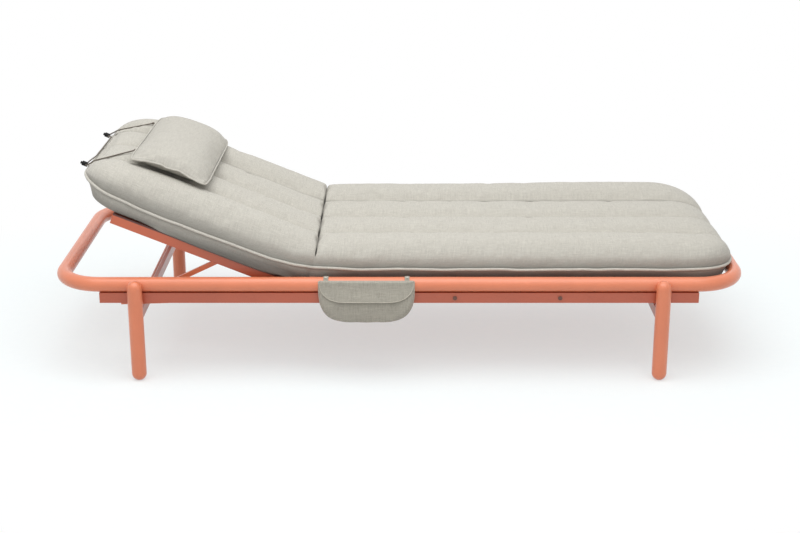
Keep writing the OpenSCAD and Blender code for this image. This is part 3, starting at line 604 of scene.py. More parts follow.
def stations():
    """Places of the cushion's cross rows: under zero up the backrest, over zero along the seat."""
    near = [0.0008, 0.002, 0.0038, 0.0062, 0.0095, 0.014, 0.020, 0.028, 0.038, 0.049]
    rows = [0.0]
    for reach, sign in ((SEAT_REACH, 1), (BACK_REACH, -1)):
        straight = reach - CORNER
        count = int(round((straight - near[-1]) / 0.0125))
        middle = list(np.linspace(near[-1], straight, count + 1)[1:])
        bend = [straight + CORNER * math.sin(math.radians(a)) for a in range(6, 91, 6)]
        rows += [sign * u for u in near + middle + bend]
    return np.array(sorted(rows))


# Height of the piping above the cushion's underside along its length, as it sags in the photograph
RIM_PLACES = (-0.60, -0.50, -0.22, -0.12, -0.05, -0.015, 0.015, 0.06, 0.14)
RIM_HEIGHTS = (0.037, 0.0305, 0.0295, 0.034, 0.042, 0.049, 0.051, 0.047, 0.044)


def arched(p, power):
    """Height of a channel's arch, 0 to 1, at a share of its width."""
    return max(0.0, 1 - abs(2 * p - 1) ** power) ** (1 / power)


def cushion_row(u, columns):
    """One cross row of the cushion's top: places across and heights, and the piping's height."""
    s = bpy.context.scene.lounger_cushion
    back = u < 0
    d = abs(u)
    reach = BACK_REACH if back else SEAT_REACH
    over = max(0.0, d - (reach - CORNER))
    half = CUSHION_HALF - CORNER + math.sqrt(max(0.0, CORNER ** 2 - over ** 2))
    half -= 0.004 * math.exp(-((d / 0.014) ** 2))
    rises = (0.004, 0.0, 0.0, 0.010 + 0.006 * step_up((u - 0.3) / 0.6))
    rim = float(np.interp(u, RIM_PLACES, RIM_HEIGHTS))
    crown = s.crown - rim
    crease_share = (s.fold_depth / crown) * (1 - math.sqrt(min(1.0, d / FOLD_HALF))) ** 2.4
    row = []
    for q in columns:
        k = min(int(q + 1e-9), 3)
        p = q - k
        length = BACK_ROLL if back else float(np.interp(q, (0.5, 1.5, 2.5, 3.5), SEAT_ROLLS))
        roll = max(0.0, d - (reach - length)) / length
        end = math.sqrt(max(0.0, 1 - roll * roll))
        fold = 1 - crease_share * step_up((min(q, 4 - q) - 0.008) / 0.11)
        if k == 0:
            y = -half + (half - CHANNEL) * p
        elif k == 3:
            y = CHANNEL + (half - CHANNEL) * p
        else:
            y = (k - 2) * CHANNEL + CHANNEL * p
        if (k == 0 and p < 0.5) or (k == 3 and p > 0.5):
            top = (crown + rises[k]) * arched(p, 2.9 if k == 0 else 3.3)
        else:
            top = crown - s.seam_depth + (s.seam_depth + rises[k]) * arched(p, 2.3)
        row.append((y, CUSHION_BASE + rim + top * end * fold))
    return row, rim


def place_row(u, pts, rim):
    """Puts a row's points (y, h) where they lie in the lounger, the row leaning with the fold."""
    reach = BACK_REACH if u < 0 else SEAT_REACH
    t = abs(u) / reach
    out = []
    for y, h in pts:
        low = max(0.0, 1 - (h - CUSHION_BASE) / rim)
        tuck = np.interp(low, (0, 0.386, 1), (0, 0.020, 0.042)) if u < 0 else 0.022 * low
        first = h * FOLD_TAN
        x = first + (reach - first) * t - tuck * t ** 20
        put = on_back((x, y, h)) if u < 0 else np.array((HINGE_X + x, y, HINGE_Z + h))
        put[0] += 0.008 * step_up(1 - abs(u) / 0.07) * step_up((h - 0.055) / 0.04)
        out.append(put)
    return out


def channel_columns():
    """Places across the cushion, close together beside the sewn lines."""
    half = [0.0, 0.009, 0.022, 0.042, 0.075, 0.125, 0.19, 0.27, 0.36]
    share = half + [0.45, 0.55] + [1 - p for p in half[:0:-1]]
    return np.array([k + p for k in range(4) for p in share] + [4.0])


# Boxing: its rings as shares of its depth, its droop on the backrest and the hem over the side tube
BAND = [0.16, 0.36, 0.58, 0.80, 1.0]
SAG = 0.0066
LIP = 0.010
LIP_Y = 0.3528
LIP_RINGS = {0.80: 0.35, 1.0: 1.0}


def lip_share(u):
    """How far the boxing's hem hangs over the side tube at a place along the backrest, 0 to 1."""
    return step_up((-u - 0.03) / 0.10) * step_up((0.52 + u) / 0.20)


def boxing_point(u, rim, depth, run, column, end_row):
    """A point of the boxing, at a depth from 0 at the piping to 1 at the hem and a distance round the rim."""
    d = abs(u)
    lift = 0.007 * step_up(1 - d / 0.075)
    h = max(CUSHION_BASE + rim * (1 - depth), CUSHION_BASE + lift)
    over = max(0.0, d - ((BACK_REACH if u < 0 else SEAT_REACH) - CORNER))
    angle = math.asin(min(1.0, over / CORNER))
    y = cushion_row(u, [column])[0][0][0]
    seat = step_up(u / 0.15)
    wave = 0.0011 * wander((run * 62, depth * 1.6, 0.3), 1.0, 2.0)
    swell = (0.0055 - 0.004 * seat) * math.sin(math.pi * depth)
    swell += wave * math.sin(math.pi * min(1.0, depth + 0.12))
    tuck = (0.004 + 0.026 * seat * (1 - 0.6 * step_up((u - 0.90) / 0.25))) * depth - swell
    droop = 0.0
    if not end_row:
        y = math.copysign(abs(y) - tuck * math.cos(angle), y)
        droop = SAG * (1 - seat) * depth ** 2 * math.cos(angle) ** 4 * step_up((d - 0.06) / 0.1)
    spot = place_row(u, [(y, h)], rim)[0] - droop * BACK_UP
    lip = LIP * lip_share(u) * LIP_RINGS.get(depth, 0.0)
    out = math.copysign(LIP_Y, spot[1]) - spot[1]
    return spot + (0, out * min(1.0, lip / 0.003), 0) - lip * BACK_UP


def on_slats(u, spot):
    """A point of the underside, raised on the backrest from the drooping hem to the slats."""
    if u >= 0.15:
        return spot
    off = abs(spot[1])
    level = SAG * (1 - step_up(u / 0.15)) * step_up((abs(u) - 0.06) / 0.1)
    level *= min(1.0, max(0.0, (0.3405 - off) / 0.006))
    level += LIP * lip_share(u) * min(1.0, max(0.0, (LIP_Y - 0.0002 - off) / 0.001))
    return spot + level * BACK_UP


def top_shade(u, column):
    """Painted shade on the top: in the sewn lines, in the fold and beside the piping."""
    off = min(abs(column - k) for k in (1, 2, 3)) * CHANNEL
    side = min(column, 4 - column)
    sunk = 0.70 * math.exp(-(off / 0.0034) ** 2)
    sunk += 0.80 * math.exp(-abs(u) / 0.0022) * step_up((side - 0.008) / 0.08)
    return min(0.80, sunk + 0.55 * math.exp(-side * CHANNEL / 0.0022))


def boxing_shade(u, depth):
    """Painted shade on the boxing, deeper towards its hem, along the seat and in the fold."""
    seat = step_up((u + 0.50) / 0.55)
    dark = (0.50 + 0.37 * seat) * min(1.0, depth * (1.3 + 0.9 * seat))
    dark += 0.4 * lip_share(u) * step_up((depth - 0.55) / 0.45)
    return min(0.9, dark + 0.5 * depth * math.exp(-abs(u) / 0.005))


def cushion_mesh():
    """The whole cushion: sewn top, boxing and underside. Also returns where its rim, seams and fold are."""
    rows = stations()
    cols = channel_columns()
    nj, ni = len(rows), len(cols)
    top, rims = [], []
    for u in rows:
        row, rim = cushion_row(u, cols)
        rims.append(rim)
        top.append(place_row(u, row, rim))
    top = np.array(top)
    grid = np.arange(nj * ni).reshape(nj, ni)
    verts = [top.reshape(-1, 3)]
    uvs = [np.concatenate([np.stack([np.full(ni, u), run_of(row)], -1) for u, row in zip(rows, top)])]
    faces = []
    for j in range(nj - 1):
        for i in range(ni - 1):
            faces.append((grid[j, i], grid[j + 1, i], grid[j + 1, i + 1], grid[j, i + 1]))
    # The rim runs along the front side to the foot, across it, back along the far side and across the head
    rim_index = [(j, 0) for j in range(nj)] + [(nj - 1, i) for i in range(1, ni)]
    rim_index += [(j, ni - 1) for j in range(nj - 2, -1, -1)] + [(0, i) for i in range(ni - 2, 0, -1)]
    rim_ids = [grid[j, i] for j, i in rim_index]
    n = len(rim_ids)
    previous = rim_ids
    total = nj * ni
    run = run_of(np.array([top[j, i] for j, i in rim_index]))
    for depth in BAND:
        ring = []
        for (j, i), r in zip(rim_index, run):
            ring.append(boxing_point(rows[j], rims[j], depth, r, cols[i], j in (0, nj - 1)))
        ids = list(range(total, total + n))
        total += n
        verts.append(np.array(ring))
        uvs.append(np.stack([run, np.full(n, -0.05 * depth)], -1))
        for k in range(n):
            faces.append((previous[(k + 1) % n], previous[k], ids[k], ids[(k + 1) % n]))
        previous = ids
    low = np.full((nj, ni), -1)
    for (j, i), k in zip(rim_index, previous):
        low[j, i] = k
    flat = np.vstack(verts)
    inner, inner_uv = [], []
    for j in range(1, nj - 1):
        a, b = flat[low[j, 0]], flat[low[j, ni - 1]]
        for i in range(1, ni - 1):
            t = (top[j, i, 1] - top[j, 0, 1]) / (top[j, ni - 1, 1] - top[j, 0, 1])
            low[j, i] = total + len(inner)
            inner.append(on_slats(rows[j], a + (b - a) * t))
            inner_uv.append((rows[j], -0.2 - t * 0.7))
    for j in range(nj - 1):
        for i in range(ni - 1):
            faces.append((low[j, i], low[j, i + 1], low[j + 1, i + 1], low[j + 1, i]))
    obj = piece("cushion", np.vstack([flat, inner]), faces, np.vstack(uvs + [inner_uv]), "cushion_fabric")
    # Painted shade in the seams, the fold, beside the piping and down the boxing; none on the underside.
    shade = [top_shade(u, q) for u in rows for q in cols]
    shade += [boxing_shade(rows[j], depth) for depth in BAND for j, _ in rim_index]
    paint_shade_and_tone(obj, shade + [0.0] * len(inner))
    seams = [int(np.argmin(abs(cols - k))) for k in (1, 2, 3)]
    fold = int(np.argmin(abs(rows)))
    return obj, grid, rim_ids, seams, fold, cols


def corded(name, line, outwards, radius):
    """A covered cord round an edge, with painted shade where it meets the cloth on both sides and on its
    underside.
    """
    sides = 12
    v, f, uv = swept(line, radius, sides, True)
    cord = outward(piece(name, v, f, uv, "piping"))
    near = np.repeat(np.arange(len(line)), sides)
    arm = (v - line[near]) / radius
    inwards = -(arm * outwards[near]).sum(axis=1)
    # Painted shade: darker on the sides that face the cloth and on the side that faces down.
    crevice_shade = 0.85 * np.clip(inwards + 0.05, 0, 0.6) / 0.6 + 0.7 * np.clip(-arm[:, 2] - 0.35, 0, 0.5) / 0.5
    paint_shade_and_tone(cord, np.minimum(crevice_shade, 0.8))
    return cord


def crumple_rim(obj, ids, amount):
    """Lets the sewn edge wander a little, as cloth does over its cord."""
    co = coords(obj)
    for i in ids:
        p = co[i]
        fine = 0.4 * wander(p, 34, 2.9)
        co[i] += amount * np.array([wander(p, 9, 1.7), 0.6 * wander(p, 11, 4.1), wander(p, 12, 7.3) + fine])
    set_coords(obj, co)


def crease(obj, pairs, value):
    """Sharpens the edges between pairs of points for the subdivision that follows."""
    wanted = {tuple(sorted(map(int, p))) for p in pairs}
    layer = obj.data.attributes.new("crease_edge", "FLOAT", "EDGE")
    keys = np.zeros(len(obj.data.edges) * 2, dtype=np.int32)
    obj.data.edges.foreach_get("vertices", keys)
    values = [value if tuple(sorted(k)) in wanted else 0.0 for k in keys.reshape(-1, 2).tolist()]
    layer.data.foreach_set("value", values)


# How far the sewn edge wanders, how far out its piping sits, and how high the stitches lie on the seams
RIM_WANDER = 0.0026
PIPING_OUT = 0.0028
STITCH_LIFT = 0.0016


def over_fold(obj):
    """Bakes a piece's placement into its mesh."""
    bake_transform(obj)


# Nodes whose finish is darker than their material slot's: painted shade where the rail and the cushion shadow
# them
OWN_FINISH = {
    "coral_painted_shade": ("side_beam_front", "side_beam_back", "beam_end_caps", "leg_tie_head", "leg_tie_foot"),
    "coral_under_cushion": ("back_side_front", "back_side_back", "back_end_caps", "prop_pins"),
}


class LOUNGER_OT_finishes(bpy.types.Operator):
    """Give every piece of the frame its finish by its material slot"""
    bl_idname = "lounger.finishes"
    bl_label = "Finishes"

    def execute(self, context):
        for part in frame["record"]["subparts"]:
            slot = part["material_slot"]
            obj = frame["nodes"][part["node"]]
            if not obj.material_slots:
                obj.data.materials.append(None)
            for own, nodes in OWN_FINISH.items():
                if part["node"] in nodes:
                    slot = own
            for ms in obj.material_slots:
                ms.material = finish_of(slot)
        return {"FINISHED"}


class LOUNGER_OT_cushion(bpy.types.Operator):
    """Sew the channelled cushion with its boxing, crease and corded edge"""
    bl_idname = "lounger.cushion"
    bl_label = "Cushion"

    def execute(self, context):
        s = context.scene.lounger_cushion
        obj, grid, rim, seams, fold, cols = cushion_mesh()
        crumple_rim(obj, rim, RIM_WANDER)
        co = coords(obj)
        top = set(grid[1:-1, 1:-1].ravel().tolist())
        sewn = set(grid[:, seams].ravel().tolist()) | set(grid[fold].tolist())
        pins = [i for i in range(len(co)) if i not in top or i in sewn]
        beside = [i for i in range(len(cols)) if min(abs(cols[i] - c) for c in (1, 2, 3)) < 0.03]
        held = grid[1:-1, beside].ravel()
        upright = co[held, 1].copy()
        puff(obj, pins, 3.0, s.swell, 0.010)
        co = coords(obj)
        co[held, 1] = upright
        set_coords(obj, co)
        lines = []
        for c in seams:
            lines += list(zip(grid[:-1, c], grid[1:, c]))
        lines += list(zip(grid[fold, :-1], grid[fold, 1:]))
        crease(obj, lines, 0.8)
        co = coords(obj)
        rim_line = co[rim]
        seam_lines = [co[grid[:, c]] for c in seams]
        fold_line = co[grid[fold]]
        smoother(obj)
        over_fold(obj)
        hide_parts("cushion_seat", "cushion_back")

        path = even(rim_line, 0.008, closed=True)
        middle = path.mean(axis=0)
        outwards = (path - middle) * np.array([0.02, 1, 0])
        outwards /= np.maximum(np.linalg.norm(outwards, axis=1), 1e-6)[:, None]
        line = eased(path, 2, True) + PIPING_OUT * outwards
        cord = corded("cushion_piping", line, outwards, s.piping)
        over_fold(cord)
        context.scene["seam_points"] = [float(x) for line in seam_lines for x in line.ravel()]
        context.scene["seam_count"] = len(seam_lines)
        context.scene["fold_points"] = [float(x) for x in fold_line.ravel()]
        return {"FINISHED"}


def stitch_tree():
    """Geometry nodes: short thread stitches at an even pitch along every line of the mesh they are put on."""
    tree = bpy.data.node_groups.new("stitches", "GeometryNodeTree")
    face = tree.interface
    face.new_socket(name="Lines", in_out="INPUT", socket_type="NodeSocketGeometry")
    for name, value in (("Pitch", 0.0065), ("Stitch length", 0.0046), ("Thread radius", 0.0005)):
        socket = face.new_socket(name=name, in_out="INPUT", socket_type="NodeSocketFloat")
        socket.default_value = value
        socket.subtype = "DISTANCE"
    face.new_socket(name="Thread", in_out="INPUT", socket_type="NodeSocketMaterial")
    face.new_socket(name="Stitches", in_out="OUTPUT", socket_type="NodeSocketGeometry")
    kit = NodeKit(tree)
    given = kit.nodes.new("NodeGroupInput").outputs
    curve = kit.add("GeometryNodeMeshToCurve", Mesh=given["Lines"])
    spread = kit.nodes.new("GeometryNodeCurveToPoints")
    spread.mode = "LENGTH"
    kit.dress(spread, Curve=curve.outputs[0], Length=given["Pitch"])
    thread = kit.add("GeometryNodeMeshCylinder", Vertices=6, Side_Segments=2,
                     Radius=given["Thread radius"], Depth=given["Stitch length"])
    put = kit.add("GeometryNodeInstanceOnPoints", Points=spread.outputs["Points"],
                  Instance=thread.outputs["Mesh"], Rotation=spread.outputs["Rotation"])
    real = kit.add("GeometryNodeRealizeInstances", Geometry=put.outputs[0])
    paint = kit.add("GeometryNodeSetMaterial", Geometry=real.outputs[0], Material=given["Thread"])
    kit.link(paint.outputs[0], kit.nodes.new("NodeGroupOutput").inputs[0])
    return tree


def grown(name, lines, tree, values):
    """Runs a geometry nodes tree on lines of points and keeps the result as a plain mesh."""
    verts, edges = [], []
    for line in lines:
        base = len(verts)
        verts += [tuple(map(float, p)) for p in line]
        edges += [(base + i, base + i + 1) for i in range(len(line) - 1)]
    mesh = bpy.data.meshes.new(name)
    mesh.from_pydata(verts, edges, [])
    obj = shown(name, mesh)
    m = obj.modifiers.new("grow", "NODES")
    m.node_group = tree
    for item in tree.interface.items_tree:
        if item.item_type == "SOCKET" and item.in_out == "INPUT" and item.name in values:
            m[item.identifier] = values[item.name]
    return plain(obj)


class LOUNGER_OT_stitches(bpy.types.Operator):
    """Sew the rows of stitches in the cushion's channels and its crease"""
    bl_idname = "lounger.stitches"
    bl_label = "Stitches"

    def execute(self, context):
        scene = context.scene
        count = scene["seam_count"]
        seams = np.array(scene["seam_points"]).reshape(count, -1, 3)
        fold = np.array(scene["fold_points"]).reshape(-1, 3)
        lines = [even(line[3:-3], 0.01) + np.array([0, 0, STITCH_LIFT]) for line in seams]
        lines.append(even(fold[2:-2], 0.01) + np.array([0.0003, 0, STITCH_LIFT]))
        obj = grown("cushion_stitches", lines, stitch_tree(), {"Thread": finish_of("thread")})
        over_fold(obj)
        for key in ("seam_count", "seam_points", "fold_points"):
            del scene[key]
        return {"FINISHED"}


def lofted(rows):
    """Faces between rows of points of equal length."""
    ni = len(rows[0])
    faces = []
    for j in range(len(rows) - 1):
        for i in range(ni - 1):
            a, b = j * ni + i, (j + 1) * ni + i
            faces.append((a, a + 1, b + 1, b))
    return faces


def thick(obj, t, offset):
    """Gives a sheet its thickness."""
    m = obj.modifiers.new("thick", "SOLIDIFY")
    m.thickness = t
    m.offset = offset
    m.use_even_offset = False
    return plain(obj)


def off_back(p):
    """The other way round from on_back: distance up the backrest, place across, height above it."""
    p = np.asarray(p, float)
    x, y, z = p[..., 0] - HINGE_X, p[..., 1], p[..., 2] - HINGE_Z
    return np.stack([-x * BACK_COS + z * BACK_SIN, y, x * BACK_SIN + z * BACK_COS], -1)


def ground_under(obj):
    """Returns a function that gives the height of an object's top at a place up and across the backrest."""
    faces = [tuple(p.vertices) for p in obj.data.polygons]
    tree = BVHTree.FromPolygons([tuple(v) for v in coords(obj)], faces)
    down = Vector((-BACK_SIN, 0, -BACK_COS))
    above = 0.4

    def height(s, y):
        hit = tree.ray_cast(Vector(on_back((s, y, above))), down)
        return above - hit[3] if hit[0] is not None else -1.0
    return height


# Pillow: its middle on the backrest, its height over and under the rim, its turn and tilt, and its puckers
PILLOW_MID = (0.4878, 0.0275, 0.1565)
PILLOW_TOP = 0.054
PILLOW_UNDER = 0.018
PILLOW_TURN = -0.012
PILLOW_TILT = 0.040
PUCKER_REACH = 0.050
PUCKER = 0.0075


def pillow_layers(length, width):
    """Two full layers sewn together at the rim: points in their own plane, faces, rim and UVs."""
    na, nb = 36, 78
    grids, verts, uvs = [], [], []
    for side in (1, -1):
        grid = np.full((na + 1, nb + 1), -1)
        for i in range(na + 1):
            for j in range(nb + 1):
                if side < 0 and (i in (0, na) or j in (0, nb)):
                    grid[i, j] = grids[0][i, j]
                    continue
                a, b = 2 * i / na - 1, 2 * j / nb - 1
                a = math.sin(0.5 * math.pi * a) * 0.45 + 0.55 * a
                b = math.sin(0.5 * math.pi * b) * 0.25 + 0.75 * b
                x = a * math.sqrt(1 - 0.15 * abs(b) ** 8) * (1 - 0.022 * (1 - b * b))
                y = b * math.sqrt(1 - 0.085 * abs(a) ** 6) * (1 - 0.032 * (1 - a * a))
                full = (max(0.0, 1 - abs(a) ** 2.7) * max(0.0, 1 - abs(b) ** 4.5)) ** 0.62
                lift = 0.006 * (1 - a * a) * abs(b) ** 6
                grid[i, j] = len(verts)
                rise = PILLOW_TOP if side > 0 else -PILLOW_UNDER
                verts.append((x * length / 2, y * width / 2, lift + full * rise))
                uvs.append((a * length / 2 + 0.3 * side, b * width / 2))
        grids.append(grid)
    faces = []
    for grid, side in zip(grids, (1, -1)):
        for i in range(na):
            for j in range(nb):
                f = (grid[i, j], grid[i + 1, j], grid[i + 1, j + 1], grid[i, j + 1])
                faces.append(f if side > 0 else f[::-1])
    g = grids[0]
    rim = list(g[0, :-1]) + list(g[:-1, nb]) + list(g[na, :0:-1]) + list(g[:0:-1, 0])
    return np.array(verts), faces, [int(k) for k in rim], np.array(uvs)


class LOUNGER_OT_pillow(bpy.types.Operator):
    """Sew the head pillow, fill it and lay it on the backrest's cushion"""
    bl_idname = "lounger.pillow"
    bl_label = "Pillow"

    def execute(self, context):
        s = context.scene.lounger_pillow
        verts, faces, rim, uvs = pillow_layers(s.length, s.width)
        obj = piece("head_pillow", verts, faces, uvs, "cushion_fabric")
        puff(obj, rim, 3.0, 0.02, 0.006, stiff=20.0, bend=0.15)
        co = coords(obj)
        up = co[:, 2].max()
        co[:, 2] = np.where(co[:, 2] > 0.008, co[:, 2] * PILLOW_TOP / up, np.maximum(co[:, 2], -PILLOW_UNDER))
        for p in co:
            a, b = 2 * p[0] / s.length, 2 * p[1] / s.width
            near = math.exp(-((1 - abs(a)) * s.length / PUCKER_REACH) ** 2)
            near += math.exp(-((1 - abs(b)) * s.width / PUCKER_REACH) ** 2)
            run = p[1] if abs(a) > abs(b) else p[0]
            if 1e-4 < abs(p[2]):
                p[2] += PUCKER * min(1.0, near) * wander((run * 62, 0.4 + 3 * a, 0.7), 1.0, 5.0)
        ground = ground_under(bpy.data.objects["cushion"])
        x, y, z = co.T
        turned = np.stack([-x + PILLOW_TURN * y, y + PILLOW_TURN * x, z + PILLOW_TILT * x], -1)
        rest = np.array(PILLOW_MID) + turned
        rest[:, 2] += 0.011 * (1 - (2 * x / s.length) ** 2).clip(0, 1) * (-2 * y / s.width).clip(0, 1) ** 3
        for k in np.nonzero(co[:, 2] < 0.010)[0]:
            rest[k, 2] = max(rest[k, 2], ground(rest[k, 0], rest[k, 1]) + 0.0015)
        set_coords(obj, on_back(rest))
        paint_shade_and_tone(obj, np.full(len(co), 0.06))
        rim_line = coords(obj)[rim]
        crease(obj, list(zip(rim, rim[1:] + rim[:1])), 0.6)
        outward(smoother(obj))
        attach(obj, "backrest")
        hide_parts("pillow")
        path = eased(even(rim_line, 0.006, closed=True), 2, True)
        outwards = unit(path - path.mean(axis=0))
        cord = corded("pillow_piping", path + 0.0012 * outwards, outwards, s.piping)
        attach(cord, "backrest")
        return {"FINISHED"}


# Route of the elastic cord on the backrest, in metres: place along it, across it and height over the hinge
FAR_RUN = [
    (0.6075, 0.218, 0.150), (0.630, 0.212, 0.1367), (0.660, 0.2035, 0.119), (0.688, 0.196, 0.1025),
    (0.704, 0.193, 0.092),
]
ROUND_LOCK = [
    (0.7115, 0.193, 0.083), (0.7173, 0.1932, 0.0765), (0.7205, 0.1922, 0.0732), (0.7222, 0.1896, 0.0713),
    (0.7230, 0.1865, 0.0703), (0.7232, 0.183, 0.070), (0.7232, 0.175, 0.070), (0.7232, 0.167, 0.070),
    (0.7226, 0.160, 0.0712), (0.7203, 0.152, 0.0748), (0.7165, 0.142, 0.0798), (0.7125, 0.127, 0.0838),
    (0.7098, 0.106, 0.0858),
]
BETWEEN_LOCKS = (0.709, 0.0, 0.0865)
NEAR_RUN = [
    (0.704, -0.190, 0.0935), (0.690, -0.179, 0.1013), (0.668, -0.162, 0.1135), (0.640, -0.1403, 0.1290),
    (0.6075, -0.115, 0.147),
]
MIRRORED_LOCK = [(s, -y, h) for s, y, h in ROUND_LOCK[::-1]]
CORD_ROUTE = [*FAR_RUN, *ROUND_LOCK, BETWEEN_LOCKS, *MIRRORED_LOCK, *NEAR_RUN]


def merged(parts):
    """Joins (points, faces, UVs) into one."""
    verts, faces, uvs, base = [], [], [], 0
    for v, f, uv in parts:
        verts.append(v)
        uvs.append(uv)
        faces += [tuple(k + base for k in face) for face in f]
        base += len(v)
    return np.vstack(verts), faces, np.vstack(uvs)


class LOUNGER_OT_cords(bpy.types.Operator):
    """Lay the elastic cord from the pillow round the cushion's head end, with its tabs and knots"""
    bl_idname = "lounger.cords"
    bl_label = "Elastic cord"

    def execute(self, context):
        route = spline(CORD_ROUTE, 4)
        self.press(bpy.data.objects["cushion"], route)
        path = on_back(route)
        cord = tube("elastic_line", path, 0.002, 10, "elastic")
        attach(cord, "backrest")
        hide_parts("elastic_cord")
        self.fittings(path)
        return {"FINISHED"}

    def press(self, cushion, route):
        """The taut cord lies in a shallow groove that it presses into the cushion's head end."""
        co = coords(cushion)
        sunk, half_width, above = 0.0023, 0.026, 0.02
        near = np.nonzero((co[:, 0] < HINGE_X - 0.48) & (co[:, 2] > 0.48))[0]
        flat = off_back(co[near])
        for k, p in zip(near, flat):
            off = np.hypot(route[:, 0] - p[0], route[:, 1] - p[1])
            i = int(np.argmin(off))
            most = route[i, 2] - sunk + 0.55 * off[i] ** 2 / 0.020
            if off[i] < half_width and most < p[2] < route[i, 2] + above:
                co[k] = on_back([(p[0], p[1], most)])[0]
        set_coords(cushion, co)

    def fittings(self, path):
        """The sewn tab and wire ring at each lock, and the knots where the cord meets the pillow."""
        tabs, rings, knots = [], [], []
        hoop = [(0.7105, 0.0672), (0.7130, 0.0682), (0.7160, 0.0690), (0.7192, 0.0694), (0.7196, 0.0700),
                (0.7192, 0.0706), (0.7160, 0.0712), (0.7130, 0.0714), (0.7105, 0.0712)]
        for side in (-1, 1):
            y = side * 0.175
            line = eased(on_back([(x, y, z) for x, z in hoop]), 1)
            lines = [line + np.array((0, w, 0)) for w in (-0.006, -0.003, 0.0, 0.003, 0.006)]
            verts = np.vstack(lines)
            tabs.append((verts, lofted(lines), np.stack([verts[:, 1], verts[:, 0]], -1)))
            circle = []
            for a in np.linspace(0, 2 * math.pi, 25)[:-1]:
                c, d = math.cos(a), math.sin(a)
                circle.append((0.7166 + 0.0052 * c, y + 0.0075 * d, 0.0700 + 0.0042 * d + 0.0030 * c))
            rings.append(swept(on_back(circle), 0.0008, 8, True))
        for end, ahead in ((path[0], path[1]), (path[-1], path[-2])):
            way = (ahead - end) / np.linalg.norm(ahead - end)
            spots = [end + way * t for t in (-0.0015, 0.0, 0.0015, 0.003, 0.0045, 0.006, 0.0075)]
            knots.append(swept(spots, [0.0012, 0.0030, 0.0037, 0.0039, 0.0037, 0.0030, 0.0021], 12))
        tab = outward(smoother(thick(piece("cord_loops", *merged(tabs), "piping"), 0.0011, 0.0)))
        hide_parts("cord_tabs")
        ring = outward(piece("cord_rings", *merged(rings), "bare_steel"))
        knot = outward(piece("cord_knots", *merged(knots), "elastic"))
        for obj in (tab, ring, knot):
            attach(obj, "backrest")


# Pouch: its middle along the rail, back, top edge, drop, how square its corners are, flap's gap and cloth
POUCH_X = -0.093
POUCH_BACK = 0.4023
POUCH_TOP = 0.295
POUCH_DROP = 0.121
POUCH_POWER = 4.1
FLAP_GAP = 0.0032
POUCH_CLOTH = 0.0016


def pouch_reach(share, half):
    """Outline of the pouch: a deep rounded U from the left top corner to the right one."""
    a = math.pi * share
    c, d = math.cos(a), math.sin(a)
    x = math.copysign(abs(c) ** (2 / POUCH_POWER), c)
    return (-half * x, -POUCH_DROP * (0.93 * abs(d) ** (2 / POUCH_POWER) + 0.07 * (1 - x * x)))


def pouch_depth(x, z, half, bulge):
    """How far the bag stands out: thin under the flap's fold and full and sagging lower down."""
    r = ((abs(x) / half) ** POUCH_POWER + (abs(z) / POUCH_DROP) ** POUCH_POWER) ** (1 / POUCH_POWER)
    sag = 0.40 + 0.60 * step_up(abs(z) / (0.62 * POUCH_DROP))
    return bulge * sag * max(0.0, 1 - r ** 9.0) ** 0.5


